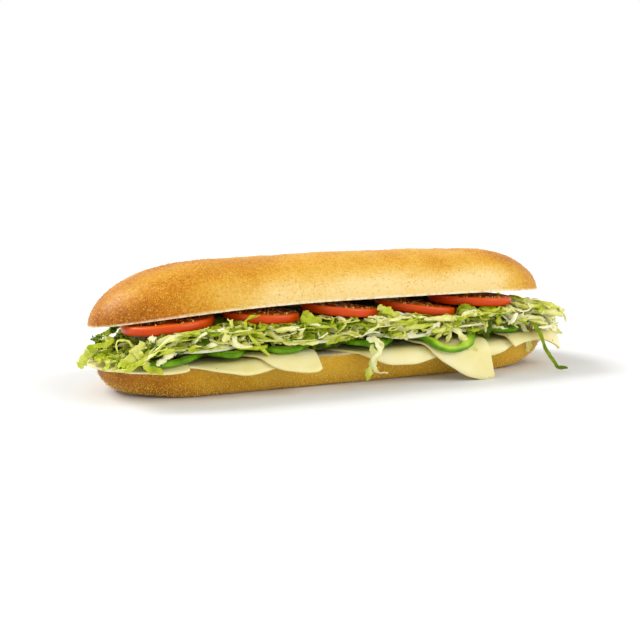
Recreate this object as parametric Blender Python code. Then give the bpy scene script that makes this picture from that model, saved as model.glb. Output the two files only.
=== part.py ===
"""A foot-long submarine sandwich: a split roll with cheese, green pepper, onion, lettuce and tomato.

Metres, +Z up. The loaf lies along X and its open front faces -Y.
The origin is on the table, under the middle of the loaf.
"""

import math
import random
from collections import namedtuple

import bmesh
import bpy
from mathutils import Matrix, Vector, noise
from mathutils.bvhtree import BVHTree

MM = 0.001

# The roll, seen from above: two tapered ends on a straight spine.
Plan = namedtuple("Plan", "left right half_width left_taper right_taper")
TOP_PLAN = Plan(-152.5 * MM, 146 * MM, 39 * MM, 74 * MM, 58 * MM)
BASE_PLAN = Plan(-147.5 * MM, 148.5 * MM, 38.5 * MM, 60 * MM, 50 * MM)
PLAN_FULLNESS = 2.2  # 2 is an ellipse, more is squarer
SIDE_STEPS, END_STEPS = 15, 12  # corners along each side and round each end
SWELL_PER_METRE = Vector((22, 30, 30))  # how quickly the loaf's unevenness changes

# Top half of the roll.
TOP_SEAT = 48.7 * MM  # height of its cut face at mid length
TOP_CREST = 76.9 * MM
CREST_FALL = 1.1 * MM  # how much lower the crest is where the ends begin
TOP_LEAN = math.radians(-5)  # its front edge is propped up by the filling
LEFT_DROOP, RIGHT_DROOP = 9 * MM, 2.5 * MM
LEFT_DROOP_POWER, RIGHT_DROOP_POWER = 2.3, 4  # a higher power droops later
TOP_BLEND = 15 * MM, 70 * MM  # distance from the spine over which a side turns into an end
TOP_CLIMBS = 10
# Powers of the cosine and sine of the dome's section: 1 and 1 are an ellipse, less is fuller.
SIDE_OUT, SIDE_UP = 0.93, 0.88
END_OUT, END_UP = 1, 1.08
TOP_SWELL = 0.9 * MM

# Bottom half of the roll.
BASE_HEIGHT = 20 * MM
LEFT_THINNING, RIGHT_THINNING = 4 * MM, 2 * MM
LEFT_THIN_POWER, RIGHT_THIN_POWER = 3, 2
LEFT_LIFT, RIGHT_LIFT = 1.5 * MM, 3.5 * MM  # how far the underside curls up at the ends
LEFT_CURL, RIGHT_CURL = (100 * MM, 140 * MM), (95 * MM, 140 * MM)  # where it begins and ends
BASE_TUCK = 10 * MM  # how far the foot lies inside the rim
END_TUCK = 5 * MM  # how much farther it does at the ends
BASE_BLEND = 20 * MM, 45 * MM
BASE_CLIMBS = 6
BASE_SWELL = 0.5 * MM
RIM_ROUNDING = 1.2 * MM

# Filling.
CHEESE_THICKNESS = 1.5 * MM
CHEESE_RADIUS = 49 * MM
CHEESE_TIP = 1.4 * MM  # how far a cut corner is rounded back
UNDER_LIFT, OVER_LIFT = 0.4 * MM, 2.2 * MM  # where the two cheese layers start above the bread
PEPPER_WALL, PEPPER_HEIGHT = 4.2 * MM, 3.4 * MM
PEPPER_LIFT, PEPPER_STATIONS = 4.2 * MM, 13
PEPPER_LOBES, LOBE_SHIFT = 0.04, 9 * MM  # depth of the lobes, and how their phase changes along the loaf
ONION_WALL, ONION_HEIGHT = 1.8 * MM, 2.2 * MM
ONION_LIFT, ONION_STATIONS = 8 * MM, 8
ARC_TIP = 0.55  # thickness of an arc's tip, as a share of its wall
TOMATO_THICKNESS = 5 * MM
TOMATO_ROUNDNESS = 0.012  # how far a slice is from a true circle
CHAMBER_REACH, CHAMBER_DEPTH = 0.5, 0.9 * MM  # sunken seed chambers in the upper face
SHRED_THICKNESS = 0.9 * MM
SHRED_TIP = 0.62  # width of a shred's tip, as a share of its full width
SLIVER = 0.01 * MM  # faces thinner than this are cleaned away after the union
MOST_CROSSINGS = 1  # shreds already in place that a new one may cross

# Draping over the rim of the bottom half.
FOLD_START = 2 * MM
FOLD_RADIUS = 6 * MM
HANG_LEAST = 8  # degrees, at the left end
HANG_GROWTH = ((40, -130 * MM, -50 * MM), (22, -20 * MM, 80 * MM))  # degrees gained between two positions
HANG_WAVE, HANG_WAVE_LENGTH = 3, 11 * MM
GAP = 0.35 * MM  # clearance kept between neighbours
LIFT_STEP = 0.25 * MM
LEAST_FALL = 1 * MM  # nothing hangs lower than this above the table

SEED = 11


def clear_scene():
    for item in list(bpy.data.objects):
        bpy.data.objects.remove(item)


def finish(name, colour, roughness):
    """A plain Principled material."""
    material = bpy.data.materials.new(name)
    material.use_nodes = True
    shader = material.node_tree.nodes["Principled BSDF"]
    shader.inputs["Base Color"].default_value = (*colour, 1)
    shader.inputs["Roughness"].default_value = roughness
    shader.inputs["Metallic"].default_value = 0
    return material


def add_object(name, mesh_builder, material):
    """Turns a bmesh into a smooth shaded object and frees the bmesh."""
    mesh = bpy.data.meshes.new(name)
    mesh_builder.to_mesh(mesh)
    mesh_builder.free()
    mesh.shade_smooth()
    mesh.set_sharp_from_angle(angle=math.radians(40))
    mesh.materials.append(material)
    item = bpy.data.objects.new(name, mesh)
    bpy.context.scene.collection.objects.link(item)
    return item


def smooth(low, high, value):
    """0 below low, 1 above high, an S curve between."""
    share = min(1, max(0, (value - low) / (high - low)))
    return share * share * (3 - 2 * share)


def skin(rings, close_rings=True):
    """A closed bmesh through rings of equal length. A ring that falls on one line is welded shut."""
    built = bmesh.new()
    loops = [[built.verts.new(point) for point in ring] for ring in rings]
    for lower, upper in zip(loops, loops[1:]):
        for i, corner in enumerate(lower):
            j = (i + 1) % len(lower)
            built.faces.new((corner, lower[j], upper[j], upper[i]))
    if close_rings:
        built.faces.new(reversed(loops[0]))
        built.faces.new(loops[-1])
    else:
        bmesh.ops.remove_doubles(built, verts=built.verts, dist=0.02 * MM)
        bmesh.ops.dissolve_degenerate(built, edges=built.edges, dist=0.01 * MM)
    bmesh.ops.recalc_face_normals(built, faces=built.faces)
    return built


# The roll


def top_cut(x):
    """Height of the top half's cut face along the spine: the ends droop past the filling."""
    if x < 0:
        return TOP_SEAT - LEFT_DROOP * (x / TOP_PLAN.left) ** LEFT_DROOP_POWER
    return TOP_SEAT - RIGHT_DROOP * (x / TOP_PLAN.right) ** RIGHT_DROOP_POWER


def base_cut(x):
    """Height of the bottom half's cut face: the knife ran lower towards the ends."""
    if x < 0:
        return BASE_HEIGHT - LEFT_THINNING * min(1, x / BASE_PLAN.left) ** LEFT_THIN_POWER
    return BASE_HEIGHT - RIGHT_THINNING * min(1, x / BASE_PLAN.right) ** RIGHT_THIN_POWER


def underside(x):
    """The table side is flat but for the ends, which curl up a little."""
    if x < 0:
        return LEFT_LIFT * smooth(*LEFT_CURL, -x)
    return RIGHT_LIFT * smooth(*RIGHT_CURL, x)


def spine_ends(plan):
    return plan.left + plan.left_taper, plan.right - plan.right_taper


def rim_reach(plan, direction):
    """Distance from the spine to the rim along a direction in plan: a superellipse at the ends."""
    taper = plan.left_taper if direction.x < 0 else plan.right_taper
    spread = abs(direction.x / taper) ** PLAN_FULLNESS
    spread += abs(direction.y / plan.half_width) ** PLAN_FULLNESS
    return spread ** (-1 / PLAN_FULLNESS)


def outline(plan):
    """(spine point, rim point) pairs counter-clockwise: the front, the right end, the back, the left end."""
    low, high = spine_ends(plan)
    pairs = []
    for start, end, turn in ((low, high, -90), (high, low, 90)):
        for i in range(SIDE_STEPS):
            x = start + (end - start) * i / SIDE_STEPS
            edge = plan.half_width * math.copysign(1, turn)
            pairs.append((Vector((x, 0)), Vector((x, edge))))
        for i in range(END_STEPS):
            angle = math.radians(turn + 180 * i / END_STEPS)
            direction = Vector((math.cos(angle), math.sin(angle)))
            spine = Vector((end, 0))
            pairs.append((spine, spine + direction * rim_reach(plan, direction)))
    return pairs


def crust_swell(point, phase):
    """Slow unevenness of a hand-shaped loaf, as a share from about -1 to 1."""
    return noise.noise(Vector(point) * SWELL_PER_METRE + Vector((0, 0, phase)))


def build_top(material):
    """A dome on the outline. Rings climb from the rim to the spine, and the cut face closes them below."""
    pairs = outline(TOP_PLAN)
    rings = []
    for share in (0, 0.35, 0.8):  # the cut face, from the spine outwards
        ring = []
        for spine, rim in pairs:
            flat = spine.lerp(rim, share)
            ring.append(Vector((flat.x, flat.y, top_cut(flat.x))))
        rings.append(ring)
    for step in range(TOP_CLIMBS + 1):
        angle = math.pi / 2 * step / TOP_CLIMBS
        ring = []
        for spine, rim in pairs:
            at_end = smooth(*TOP_BLEND, abs(rim.x - spine.x))
            flat = spine.lerp(rim, math.cos(angle) ** (SIDE_OUT + (END_OUT - SIDE_OUT) * at_end))
            crest = TOP_CREST - CREST_FALL * (spine.x / spine_ends(TOP_PLAN)[0]) ** 2
            rise = math.sin(angle) ** (SIDE_UP + (END_UP - SIDE_UP) * at_end)
            swell = crust_swell((flat.x, flat.y, rise * crest), 0) * TOP_SWELL * math.sin(angle)
            cut = top_cut(flat.x)
            ring.append(Vector((flat.x, flat.y, cut + (crest - cut) * rise + swell)))
        rings.append(ring)
    built = skin(rings, close_rings=False)
    pivot = Vector((0, 0, TOP_SEAT))
    bmesh.ops.rotate(built, verts=built.verts, cent=pivot, matrix=Matrix.Rotation(TOP_LEAN, 3, "X"))
    return add_object("top_roll", built, material)


def build_base(material):
    """A shallow boat: a flat foot, a quarter-round side and the cut face with its softened rim."""
    pairs = outline(BASE_PLAN)

    def foot(spine, rim):
        reach = (rim - spine).length
        tuck = BASE_TUCK + END_TUCK * smooth(*BASE_BLEND, abs(rim.x - spine.x))
        return spine.lerp(rim, (reach - tuck) / reach)

    rings = []
    for share in (0, 0.6):
        ring = []
        for spine, rim in pairs:
            flat = spine.lerp(foot(spine, rim), share)
            ring.append(Vector((flat.x, flat.y, underside(flat.x))))
        rings.append(ring)
    for step in range(BASE_CLIMBS + 1):
        angle = math.pi / 2 * step / BASE_CLIMBS
        ring = []
        for spine, rim in pairs:
            flat = foot(spine, rim).lerp(rim, math.sin(angle))
            low = underside(flat.x)
            side = low + (base_cut(rim.x) - RIM_ROUNDING - low) * (1 - math.cos(angle))
            bulge = crust_swell((flat.x, flat.y, side), 9) * BASE_SWELL * math.sin(angle)
            flat += (rim - spine).normalized() * bulge
            ring.append(Vector((flat.x, flat.y, side)))
        rings.append(ring)
    for share in (0.965, 0.6, 0):
        ring = []
        for spine, rim in pairs:
            flat = spine.lerp(rim, share)
            ring.append(Vector((flat.x, flat.y, base_cut(flat.x))))
        rings.append(ring)
    return add_object("bottom_roll", skin(rings, close_rings=False), material)


# Draping


def hang_angle(x):
    """How steeply a limp slice hangs beyond the rim: hardly at the left end, ever more towards the right."""
    steep = HANG_LEAST + sum(gain * smooth(start, end, x) for gain, start, end in HANG_GROWTH)
    return math.radians(steep + HANG_WAVE * math.sin(x / HANG_WAVE_LENGTH))


def drape(x, y, lift, sag=1):
    """The point that flat position x, y comes to on a sheet laid over the bottom half.

    The sheet lies lift above the bread. A sag below 1 is for stiffer things, which bend less at the rim.
    """
    low, high = spine_ends(BASE_PLAN)
    spine = Vector((min(high, max(low, x)), 0))
    arm = Vector((x, y)) - spine
    if arm.length < MM:
        return Vector((x, y, base_cut(x) + lift))
    direction = arm.normalized()
    beyond = arm.length - rim_reach(BASE_PLAN, direction) - FOLD_START
    if beyond <= 0:
        return Vector((x, y, base_cut(x) + lift))
    steepest = hang_angle(x) * sag
    bend = min(beyond / FOLD_RADIUS, steepest)
    straight = max(0, beyond - FOLD_RADIUS * steepest)
    out = FOLD_RADIUS * math.sin(bend) + straight * math.cos(steepest) + lift * math.sin(bend)
    fall = FOLD_RADIUS * (1 - math.cos(bend)) + straight * math.sin(steepest) - lift * math.cos(bend)
    flat = spine + direction * (arm.length - beyond + out)
    return Vector((flat.x, flat.y, base_cut(x) - fall))


def tree_of(item):
    return BVHTree.FromObject(item, bpy.context.evaluated_depsgraph_get())


def joint_tree(items):
    """One search tree over several objects."""
    corners, faces = [], []
    for item in items:
        first = len(corners)
        corners += [corner.co for corner in item.data.vertices]
        faces += [[first + i for i in face.vertices] for face in item.data.polygons]
    return BVHTree.FromPolygons(corners, faces)


def is_clear(built, trees, gap=GAP):
    """True if the bmesh crosses none of the trees and keeps its corners the gap away from them."""
    own = BVHTree.FromBMesh(built)
    for tree in trees:
        if own.overlap(tree):
            return False
        for corner in built.verts:
            if tree.find_nearest(corner.co, gap)[0] is not None:
                return False
    return True


def lay(make, trees, lift):
    """Raises a piece a little at a time until it rests clear of what is already there."""
    while True:
        built = make(lift)
        if is_clear(built, trees):
            return built
        built.free()
        lift += LIFT_STEP


# Cheese

# Round slices, whole or cut. Centre, start angle and sweep of the part that is used, and radial steps.
Slice = namedtuple("Slice", "x y start sweep radii")
EVEN_RADII = (0.2, 0.42, 0.62, 0.8, 1)
OUTER_RADII = (0.5, 0.78, 0.9, 1)
UNDER_SLICES = (
    Slice(-72 * MM, -2 * MM, 0, 360, OUTER_RADII),
    Slice(30.5 * MM, -4 * MM, 0, 360, OUTER_RADII),
    Slice(80.5 * MM, -3 * MM, -90, 180, OUTER_RADII),
)
OVER_SLICES = (
    Slice(-105.5 * MM, 1 * MM, 90, 180, OUTER_RADII),
    Slice(-31 * MM, -6 * MM, 94, 180, OUTER_RADII),
    Slice(85 * MM, -16.5 * MM, 93, 180, EVEN_RADII),
    Slice(150 * MM, -34 * MM, 100, 96, EVEN_RADII),
)
ARC_STEP = 12  # degrees between corners along a slice's edge


def cheese_sheet(piece, lift):
    """A round slice or a sector of one: rings of corners draped at lift and again one thickness higher."""
    whole = piece.sweep == 360
    count = piece.sweep // ARC_STEP + (0 if whole else 1)
    built = bmesh.new()
    layers = []
    for height in (lift, lift + CHEESE_THICKNESS):
        centre = built.verts.new(drape(piece.x, piece.y, height))
        rings = []
        for share in piece.radii:
            ring = []
            for i in range(count):
                angle = math.radians(piece.start + i * ARC_STEP)
                from_tip = min(i, count - 1 - i) if not whole else count
                reach = (CHEESE_RADIUS - (CHEESE_TIP if from_tip == 0 else 0)) * share
                x = piece.x + reach * math.cos(angle)
                y = piece.y + reach * math.sin(angle)
                ring.append(built.verts.new(drape(x, y, height)))
            rings.append(ring)
        layers.append((centre, rings))
    last = count if whole else count - 1
    for centre, rings in layers:
        for i in range(last):
            j = (i + 1) % count
            built.faces.new((centre, rings[0][i], rings[0][j]))
            for inner, outer in zip(rings, rings[1:]):
                built.faces.new((inner[i], outer[i], outer[j], inner[j]))
    (low_centre, low), (high_centre, high) = layers
    for i in range(last):
        j = (i + 1) % count
        built.faces.new((low[-1][i], low[-1][j], high[-1][j], high[-1][i]))
    if not whole:
        for end in (0, count - 1):
            edge = [(low_centre, high_centre)] + [(a[end], b[end]) for a, b in zip(low, high)]
            for (a, b), (c, d) in zip(edge, edge[1:]):
                built.faces.new((a, b, d, c))
    bmesh.ops.triangulate(built, faces=built.faces)
    bmesh.ops.recalc_face_normals(built, faces=built.faces)
    return built


def build_cheese(material, trees):
    placed = []
    for start_lift, group in ((UNDER_LIFT, UNDER_SLICES), (OVER_LIFT, OVER_SLICES)):
        for piece in group:
            built = lay(lambda lift, piece=piece: cheese_sheet(piece, lift), trees, start_lift)
            placed.append(add_object(f"cheese_{len(placed) + 1}", built, material))
            trees.append(tree_of(placed[-1]))
    return placed


# Pepper and onion arcs

# Plan centre, radii along X and Y, first and last angle in degrees. -90 is the front.
Arc = namedtuple("Arc", "x y radius_x radius_y first last sag")
# A kind of arc: its wall, height, corners along it, lobes, and where it starts above the bread.
Kind = namedtuple("Kind", "name wall height stations lobes lift")
PEPPER = Kind("pepper", PEPPER_WALL, PEPPER_HEIGHT, PEPPER_STATIONS, PEPPER_LOBES, PEPPER_LIFT)
ONION = Kind("onion", ONION_WALL, ONION_HEIGHT, ONION_STATIONS, 0, ONION_LIFT)
PEPPER_ARCS = (
    Arc(-113 * MM, -19 * MM, 22 * MM, 26 * MM, -172, -25, 0.4),
    Arc(-80 * MM, -20 * MM, 14 * MM, 24 * MM, -150, -30, 0.3),
    Arc(-45 * MM, -16 * MM, 21 * MM, 29 * MM, -172, -6, 0.4),
    Arc(12 * MM, -18 * MM, 18 * MM, 27 * MM, -168, -10, 0.5),
    Arc(62 * MM, -18 * MM, 26 * MM, 33 * MM, -176, -2, 0.75),
    Arc(108 * MM, -15 * MM, 17.5 * MM, 25 * MM, -176, -20, 0.3),
    Arc(-104 * MM, 15 * MM, 28 * MM, 26 * MM, 8, 172, 0.4),
    Arc(-40 * MM, 15 * MM, 27 * MM, 28 * MM, 6, 176, 0.6),
    Arc(22 * MM, 15 * MM, 29 * MM, 27 * MM, 4, 170, 0.4),
    Arc(86 * MM, 15 * MM, 27 * MM, 26 * MM, 10, 174, 0.5),
)
ONION_ARCS = (
    Arc(-90 * MM, -6 * MM, 42 * MM, 36 * MM, -128, -58, 0.2),
    Arc(-28 * MM, -8 * MM, 42 * MM, 35 * MM, -126, -56, 0.2),
    Arc(32 * MM, -6 * MM, 42 * MM, 38 * MM, -126, -58, 0.3),
    Arc(74 * MM, -8 * MM, 40 * MM, 34 * MM, -112, -56, 0.2),
    Arc(106 * MM, -6 * MM, 34 * MM, 33 * MM, -122, -60, 0.2),
    Arc(-70 * MM, 8 * MM, 42 * MM, 34 * MM, 54, 126, 0.3),
    Arc(0 * MM, 6 * MM, 42 * MM, 35 * MM, 54, 126, 0.3),
    Arc(66 * MM, 8 * MM, 42 * MM, 34 * MM, 54, 126, 0.3),
)


def arc_band(arc, kind, lift):
    """A strip of a sliced ring, draped: a box section swept round the arc, with slow lobes."""
    rings = []
    for i in range(kind.stations):
        share = i / (kind.stations - 1)
        angle = math.radians(arc.first + (arc.last - arc.first) * share)
        ripple = 1 + kind.lobes * math.cos(3 * angle + arc.x / LOBE_SHIFT)
        taper = ARC_TIP + (1 - ARC_TIP) * min(1, 6 * share, 6 * (1 - share))
        corners = []
        for reach, level in ((0, 0), (kind.wall, 0), (kind.wall, kind.height), (0, kind.height)):
            inset = reach * taper
            x = arc.x + (arc.radius_x * ripple - inset) * math.cos(angle)
            y = arc.y + (arc.radius_y * ripple - inset) * math.sin(angle)
            corners.append(drape(x, y, lift + level, arc.sag))
        rings.append(corners)
    return skin(rings)


def build_arcs(arcs, kind, material, trees):
    placed = []
    for arc in arcs:
        built = lay(lambda lift, arc=arc: arc_band(arc, kind, lift), trees, kind.lift)
        placed.append(add_object(f"{kind.name}_{len(placed) + 1}", built, material))
        trees.append(tree_of(placed[-1]))
    return placed


# Tomato

# Centre, radius, then how much the slice rises per metre along X and along Y.
Tilt = namedtuple("Tilt", "x y z radius rise_x rise_y")
TOMATO_SLICES = (
    Tilt(-110.3 * MM, -17 * MM, 41.6 * MM, 27 * MM, 0.07, -0.03),
    Tilt(-53.9 * MM, -20.5 * MM, 43.4 * MM, 23.2 * MM, -0.05, -0.03),
    Tilt(-3.4 * MM, -20.5 * MM, 44.2 * MM, 24.2 * MM, -0.11, -0.04),
    Tilt(49.5 * MM, -19.5 * MM, 42.4 * MM, 25.5 * MM, -0.133, -0.02),
    Tilt(90.5 * MM, -17 * MM, 44.9 * MM, 27 * MM, -0.057, -0.035),
)
TOMATO_HALVES = (
    Tilt(-94 * MM, 17 * MM, 39.8 * MM, 27.5 * MM, 0.04, -0.087),
    Tilt(-36 * MM, 17 * MM, 42.4 * MM, 28 * MM, -0.03, -0.087),
    Tilt(26 * MM, 17 * MM, 42.6 * MM, 28.5 * MM, 0.02, -0.087),
    Tilt(88 * MM, 17 * MM, 42.2 * MM, 28.5 * MM, -0.03, -0.087),
)


def tomato_disc(place, count, sweep):
    """A slice turned from its profile: sunken seed chambers in a firm wall, and a rounded skin edge."""
    half = TOMATO_THICKNESS / 2
    whole = sweep == 360
    lower = ((0, -half), (0.66, -half), (0.96, -half), (1, 0))
    upper = ((0.96, half), (0.78, half), (CHAMBER_REACH, half), (0, half))
    rings = []
    for share, level in lower + upper:
        depth = CHAMBER_DEPTH if share == CHAMBER_REACH else 0
        ring = []
        for i in range(count):
            angle = math.radians(sweep * i / (count if whole else count - 1))
            reach = place.radius * share * (1 + TOMATO_ROUNDNESS * math.cos(3 * angle + place.x * 50))
            sunk = depth * (0.5 + 0.5 * math.cos(5 * angle))
            x, y = reach * math.cos(angle), reach * math.sin(angle)
            z = place.z + level - sunk + x * place.rise_x + y * place.rise_y
            ring.append(Vector((place.x + x, place.y + y, z)))
        rings.append(ring)
    if whole:
        return skin(rings, close_rings=False)
    turned = [[ring[i] for ring in rings] for i in range(count)]
    built = skin(turned)
    bmesh.ops.remove_doubles(built, verts=built.verts, dist=0.02 * MM)
    bmesh.ops.recalc_face_normals(built, faces=built.faces)
    return built


def build_tomatoes(material):
    placed = []
    for places, count, sweep in ((TOMATO_SLICES, 20, 360), (TOMATO_HALVES, 10, 180)):
        for place in places:
            built = tomato_disc(place, count, sweep)
            placed.append(add_object(f"tomato_{len(placed) + 1}", built, material))
    return placed


# Lettuce

CORE_LEFT, CORE_RIGHT, CORE_HALF = -154 * MM, 150 * MM, 39 * MM
CORE_COLUMNS, CORE_ROWS = 22, 6
CORE_TOP = 45 * MM
CORE_SLOPE_LEFT, CORE_SLOPE_RIGHT = 24 * MM, 22 * MM  # length of the slopes at the ends
CORE_END_LEFT, CORE_END_RIGHT = 23 * MM, 31 * MM  # height of the top there
CORE_MARGIN = 0.6 * MM
CORE_SAMPLES = 7
MID_FILLING = 35.5 * MM  # a level between the arcs below and the tomatoes above


def free_span(x, y, below, above, reach_x, reach_y):
    """Lowest and highest free height over a small patch round x, y."""
    low, high = 0, 1
    for i in range(-CORE_SAMPLES, CORE_SAMPLES + 1):
        for j in range(-CORE_SAMPLES, CORE_SAMPLES + 1):
            start = Vector((x + i / CORE_SAMPLES * reach_x, y + j / CORE_SAMPLES * reach_y, MID_FILLING))
            under = below.ray_cast(start, Vector((0, 0, -1)))[0]
            over = above.ray_cast(start, Vector((0, 0, 1)))[0]
            if under is not None:
                low = max(low, under.z)
            if over is not None:
                high = min(high, over.z)
    return low + CORE_MARGIN, high - CORE_MARGIN


def build_core(below, above):
    """The packed middle of the lettuce: it fills the room between the arcs below and the tomatoes above."""
    cell_x = (CORE_RIGHT - CORE_LEFT) / CORE_COLUMNS
    cell_y = 2 * CORE_HALF / CORE_ROWS
    grid = {}
    for i in range(CORE_COLUMNS + 1):
        along = i / CORE_COLUMNS * 2 - 1
        narrow = (1 - abs(along) ** 6) ** 0.5 * 0.55 + 0.45
        for j in range(CORE_ROWS + 1):
            x = CORE_LEFT + i * cell_x
            y = (-CORE_HALF + j * cell_y) * narrow
            low, high = free_span(x, y, below, above, cell_x, cell_y)
            left = (x - CORE_LEFT) / CORE_SLOPE_LEFT
            right = (CORE_RIGHT - x) / CORE_SLOPE_RIGHT
            high = min(high, CORE_TOP)
            high = min(high, CORE_END_LEFT + (CORE_TOP - CORE_END_LEFT) * left)
            high = min(high, CORE_END_RIGHT + (CORE_TOP - CORE_END_RIGHT) * right)
            low = min(low, high - 1.5 * MM)
            grid[i, j] = (x, y, low, high)
    built = bmesh.new()
    sheets = []
    for level in (2, 3):
        sheets.append({key: built.verts.new((v[0], v[1], v[level])) for key, v in grid.items()})
    for sheet in sheets:
        for i in range(CORE_COLUMNS):
            for j in range(CORE_ROWS):
                built.faces.new((sheet[i, j], sheet[i + 1, j], sheet[i + 1, j + 1], sheet[i, j + 1]))
    low, high = sheets
    border = [(i, 0) for i in range(CORE_COLUMNS)] + [(CORE_COLUMNS, j) for j in range(CORE_ROWS)]
    border += [(i, CORE_ROWS) for i in range(CORE_COLUMNS, 0, -1)] + [(0, j) for j in range(CORE_ROWS, 0, -1)]
    for a, b in zip(border, border[1:] + border[:1]):
        built.faces.new((low[a], low[b], high[b], high[a]))
    bmesh.ops.triangulate(built, faces=built.faces)
    bmesh.ops.recalc_face_normals(built, faces=built.faces)
    return built


def ribbon(path, width, twist_start, twist_end):
    """A shred: a thin strip along the path, turning about its own line, narrower at both tips."""
    rings = []
    last = len(path) - 1
    for i, centre in enumerate(path):
        tangent = (path[min(i + 1, last)] - path[max(i - 1, 0)]).normalized()
        level = tangent.cross(Vector((0, 0, 1)))
        if level.length < 0.2:
            level = tangent.cross(Vector((0, 1, 0)))
        level.normalize()
        share = 0.5 * smooth(0, 0.35, i / last) + 0.5 * smooth(0.65, 1, i / last)
        twist = math.radians(twist_start + (twist_end - twist_start) * share)
        across = Matrix.Rotation(twist, 3, tangent) @ level
        normal = tangent.cross(across)
        half = width / 2 * (SHRED_TIP if i in (0, last) else 1)
        thick = SHRED_THICKNESS / 2
        rings.append(
            [
                centre - across * half - normal * thick,
                centre + across * half - normal * thick,
                centre + across * half + normal * thick,
                centre - across * half + normal * thick,
            ]
        )
    return skin(rings)


def curve_through(points, count):
    """Points evenly along a Catmull-Rom curve through the given ones."""
    padded = [points[0] * 2 - points[1], *points, points[-1] * 2 - points[-2]]
    fine = []
    for a, b, c, d in zip(padded, padded[1:], padded[2:], padded[3:]):
        for i in range(12):
            t = i / 12
            bend = (2 * a - 5 * b + 4 * c - d) * t**2 + (3 * b - a - 3 * c + d) * t**3
            fine.append(0.5 * (2 * b + (c - a) * t + bend))
    fine.append(points[-1])
    travelled = [0]
    for a, b in zip(fine, fine[1:]):
        travelled.append(travelled[-1] + (b - a).length)
    route = []
    for i in range(count):
        goal = travelled[-1] * i / (count - 1)
        k = max(n for n, value in enumerate(travelled) if value <= goal + 1e-12)
        if k == len(fine) - 1:
            route.append(fine[-1])
            continue
        share = (goal - travelled[k]) / (travelled[k + 1] - travelled[k])
        route.append(fine[k].lerp(fine[k + 1], share))
    return route


def looping_shred(draw, side, x, level):
    """A shred that leaves the heap flat, bulges out on edge in front of it and turns back in."""
    run = draw.uniform(24, 44) * MM * (1 if x < 0 else -1)
    bulge = draw.uniform(11, 15) * MM
    rise = draw.uniform(-4, 4) * MM
    tilt = draw.uniform(-3, 3) * MM
    root = CORE_HALF - 2 * MM
    points = [
        Vector((x, side * root, level)),
        Vector((x + run * 0.14, side * (root + bulge * 0.8), level + tilt)),
        Vector((x + run * 0.5, side * (root + bulge), level + rise)),
        Vector((x + run * 0.86, side * (root + bulge * 0.8), level - tilt)),
        Vector((x + run, side * root, level)),
    ]
    return curve_through(points, 7), 0, draw.uniform(150, 200) * draw.choice((-1, 1))


def spilling_shred(draw, side, x, level):
    """A shred that leaves the heap and droops over the edge."""
    sway = draw.uniform(-14, 14) * MM
    out = draw.uniform(11, 17) * MM
    root = CORE_HALF - 5 * MM
    points = [
        Vector((x, side * root, level)),
        Vector((x + sway * 0.3, side * (root + out * 0.8), level - draw.uniform(-2, 2) * MM)),
        Vector((x + sway, side * (root + out), level - draw.uniform(6, 14) * MM)),
    ]
    return curve_through(points, 5), draw.uniform(-20, 20), draw.uniform(-70, 70)


def end_shred(draw, end, level):
    """A shred that fans out past one end of the loaf."""
    tip = (CORE_LEFT + 10 * MM, CORE_RIGHT - 8 * MM)[end]
    way = (-1, 1)[end]
    y = draw.uniform(-30, 26) * MM
    tip -= way * 12 * MM * (y / (30 * MM)) ** 2
    reach = draw.uniform(8, 19) * MM
    points = [
        Vector((tip - way * 16 * MM, y * 0.7, level)),
        Vector((tip + way * reach * 0.4, y, level - draw.uniform(0, 3) * MM)),
        Vector((tip + way * reach, y + draw.uniform(-8, 8) * MM, level - draw.uniform(5, 12) * MM)),
    ]
    return curve_through(points, 5), draw.uniform(-50, 50), draw.uniform(-80, 80)


# Shreds that stand out in the real heap, point by point: one hangs down the middle of the front,
# and one trails from the right end to the table.
MIDDLE_STRAND = ((4, -33, 36), (5, -46, 36.5), (4.5, -52, 29), (2, -55, 20), (1, -56, 12), (-1.5, -56, 5.5))
MIDDLE_CURL = ((9, -33, 34), (9.5, -47, 32), (7.5, -55, 24), (6, -58.5, 14), (8.5, -60, 9), (13, -60, 9.5))
RIGHT_TRAIL_START = ((112, -28, 36), (117, -39, 36), (122, -47, 29), (126.3, -51, 17))
RIGHT_TRAIL_END = ((129.7, -53.5, 9.5), (132.5, -57, 4.2), (137.9, -59.5, 3.4))
RIGHT_SPRAY = ((128, -14, 38), (140, -14, 42), (151, -14, 37), (164, -12, 31))
LEFT_SPRAY = ((-134, -14, 31), (-144, -20, 31), (-152, -22, 27), (-161, -18, 21))
# Each with its width in millimetres and its first and last twist in degrees.
SHAPED_SHREDS = (
    (MIDDLE_STRAND, 5, 20, 60),
    (MIDDLE_CURL, 3, 0, 50),
    (RIGHT_TRAIL_START + RIGHT_TRAIL_END, 3, 20, 60),
    (RIGHT_SPRAY, 4.5, 0, 30),
    (LEFT_SPRAY, 6, 10, 50),
)


def shred_plan(draw):
    """Every shred in turn, as (path, width, first twist, last twist)."""
    for points, width, first, last in SHAPED_SHREDS:
        yield curve_through([Vector(p) * MM for p in points], 9), width * MM, first, last
    for side, spills, loops in ((-1, 34, 260), (1, 14, 90)):
        for kind, count, thin, wide in ((spilling_shred, spills, 3, 5), (looping_shred, loops, 4, 6.5)):
            for _ in range(count):
                x = draw.uniform(-132, 130) * MM
                level = draw.uniform(33, 38) * MM
                path, first, last = kind(draw, side, x, level)
                yield path, draw.uniform(thin, wide) * MM, first, last
    for end in (0, 1):
        for _ in range(18):
            level = draw.uniform(24, 41) * MM
            path, first, last = end_shred(draw, end, level)
            yield path, draw.uniform(3, 5.5) * MM, first, last


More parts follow.
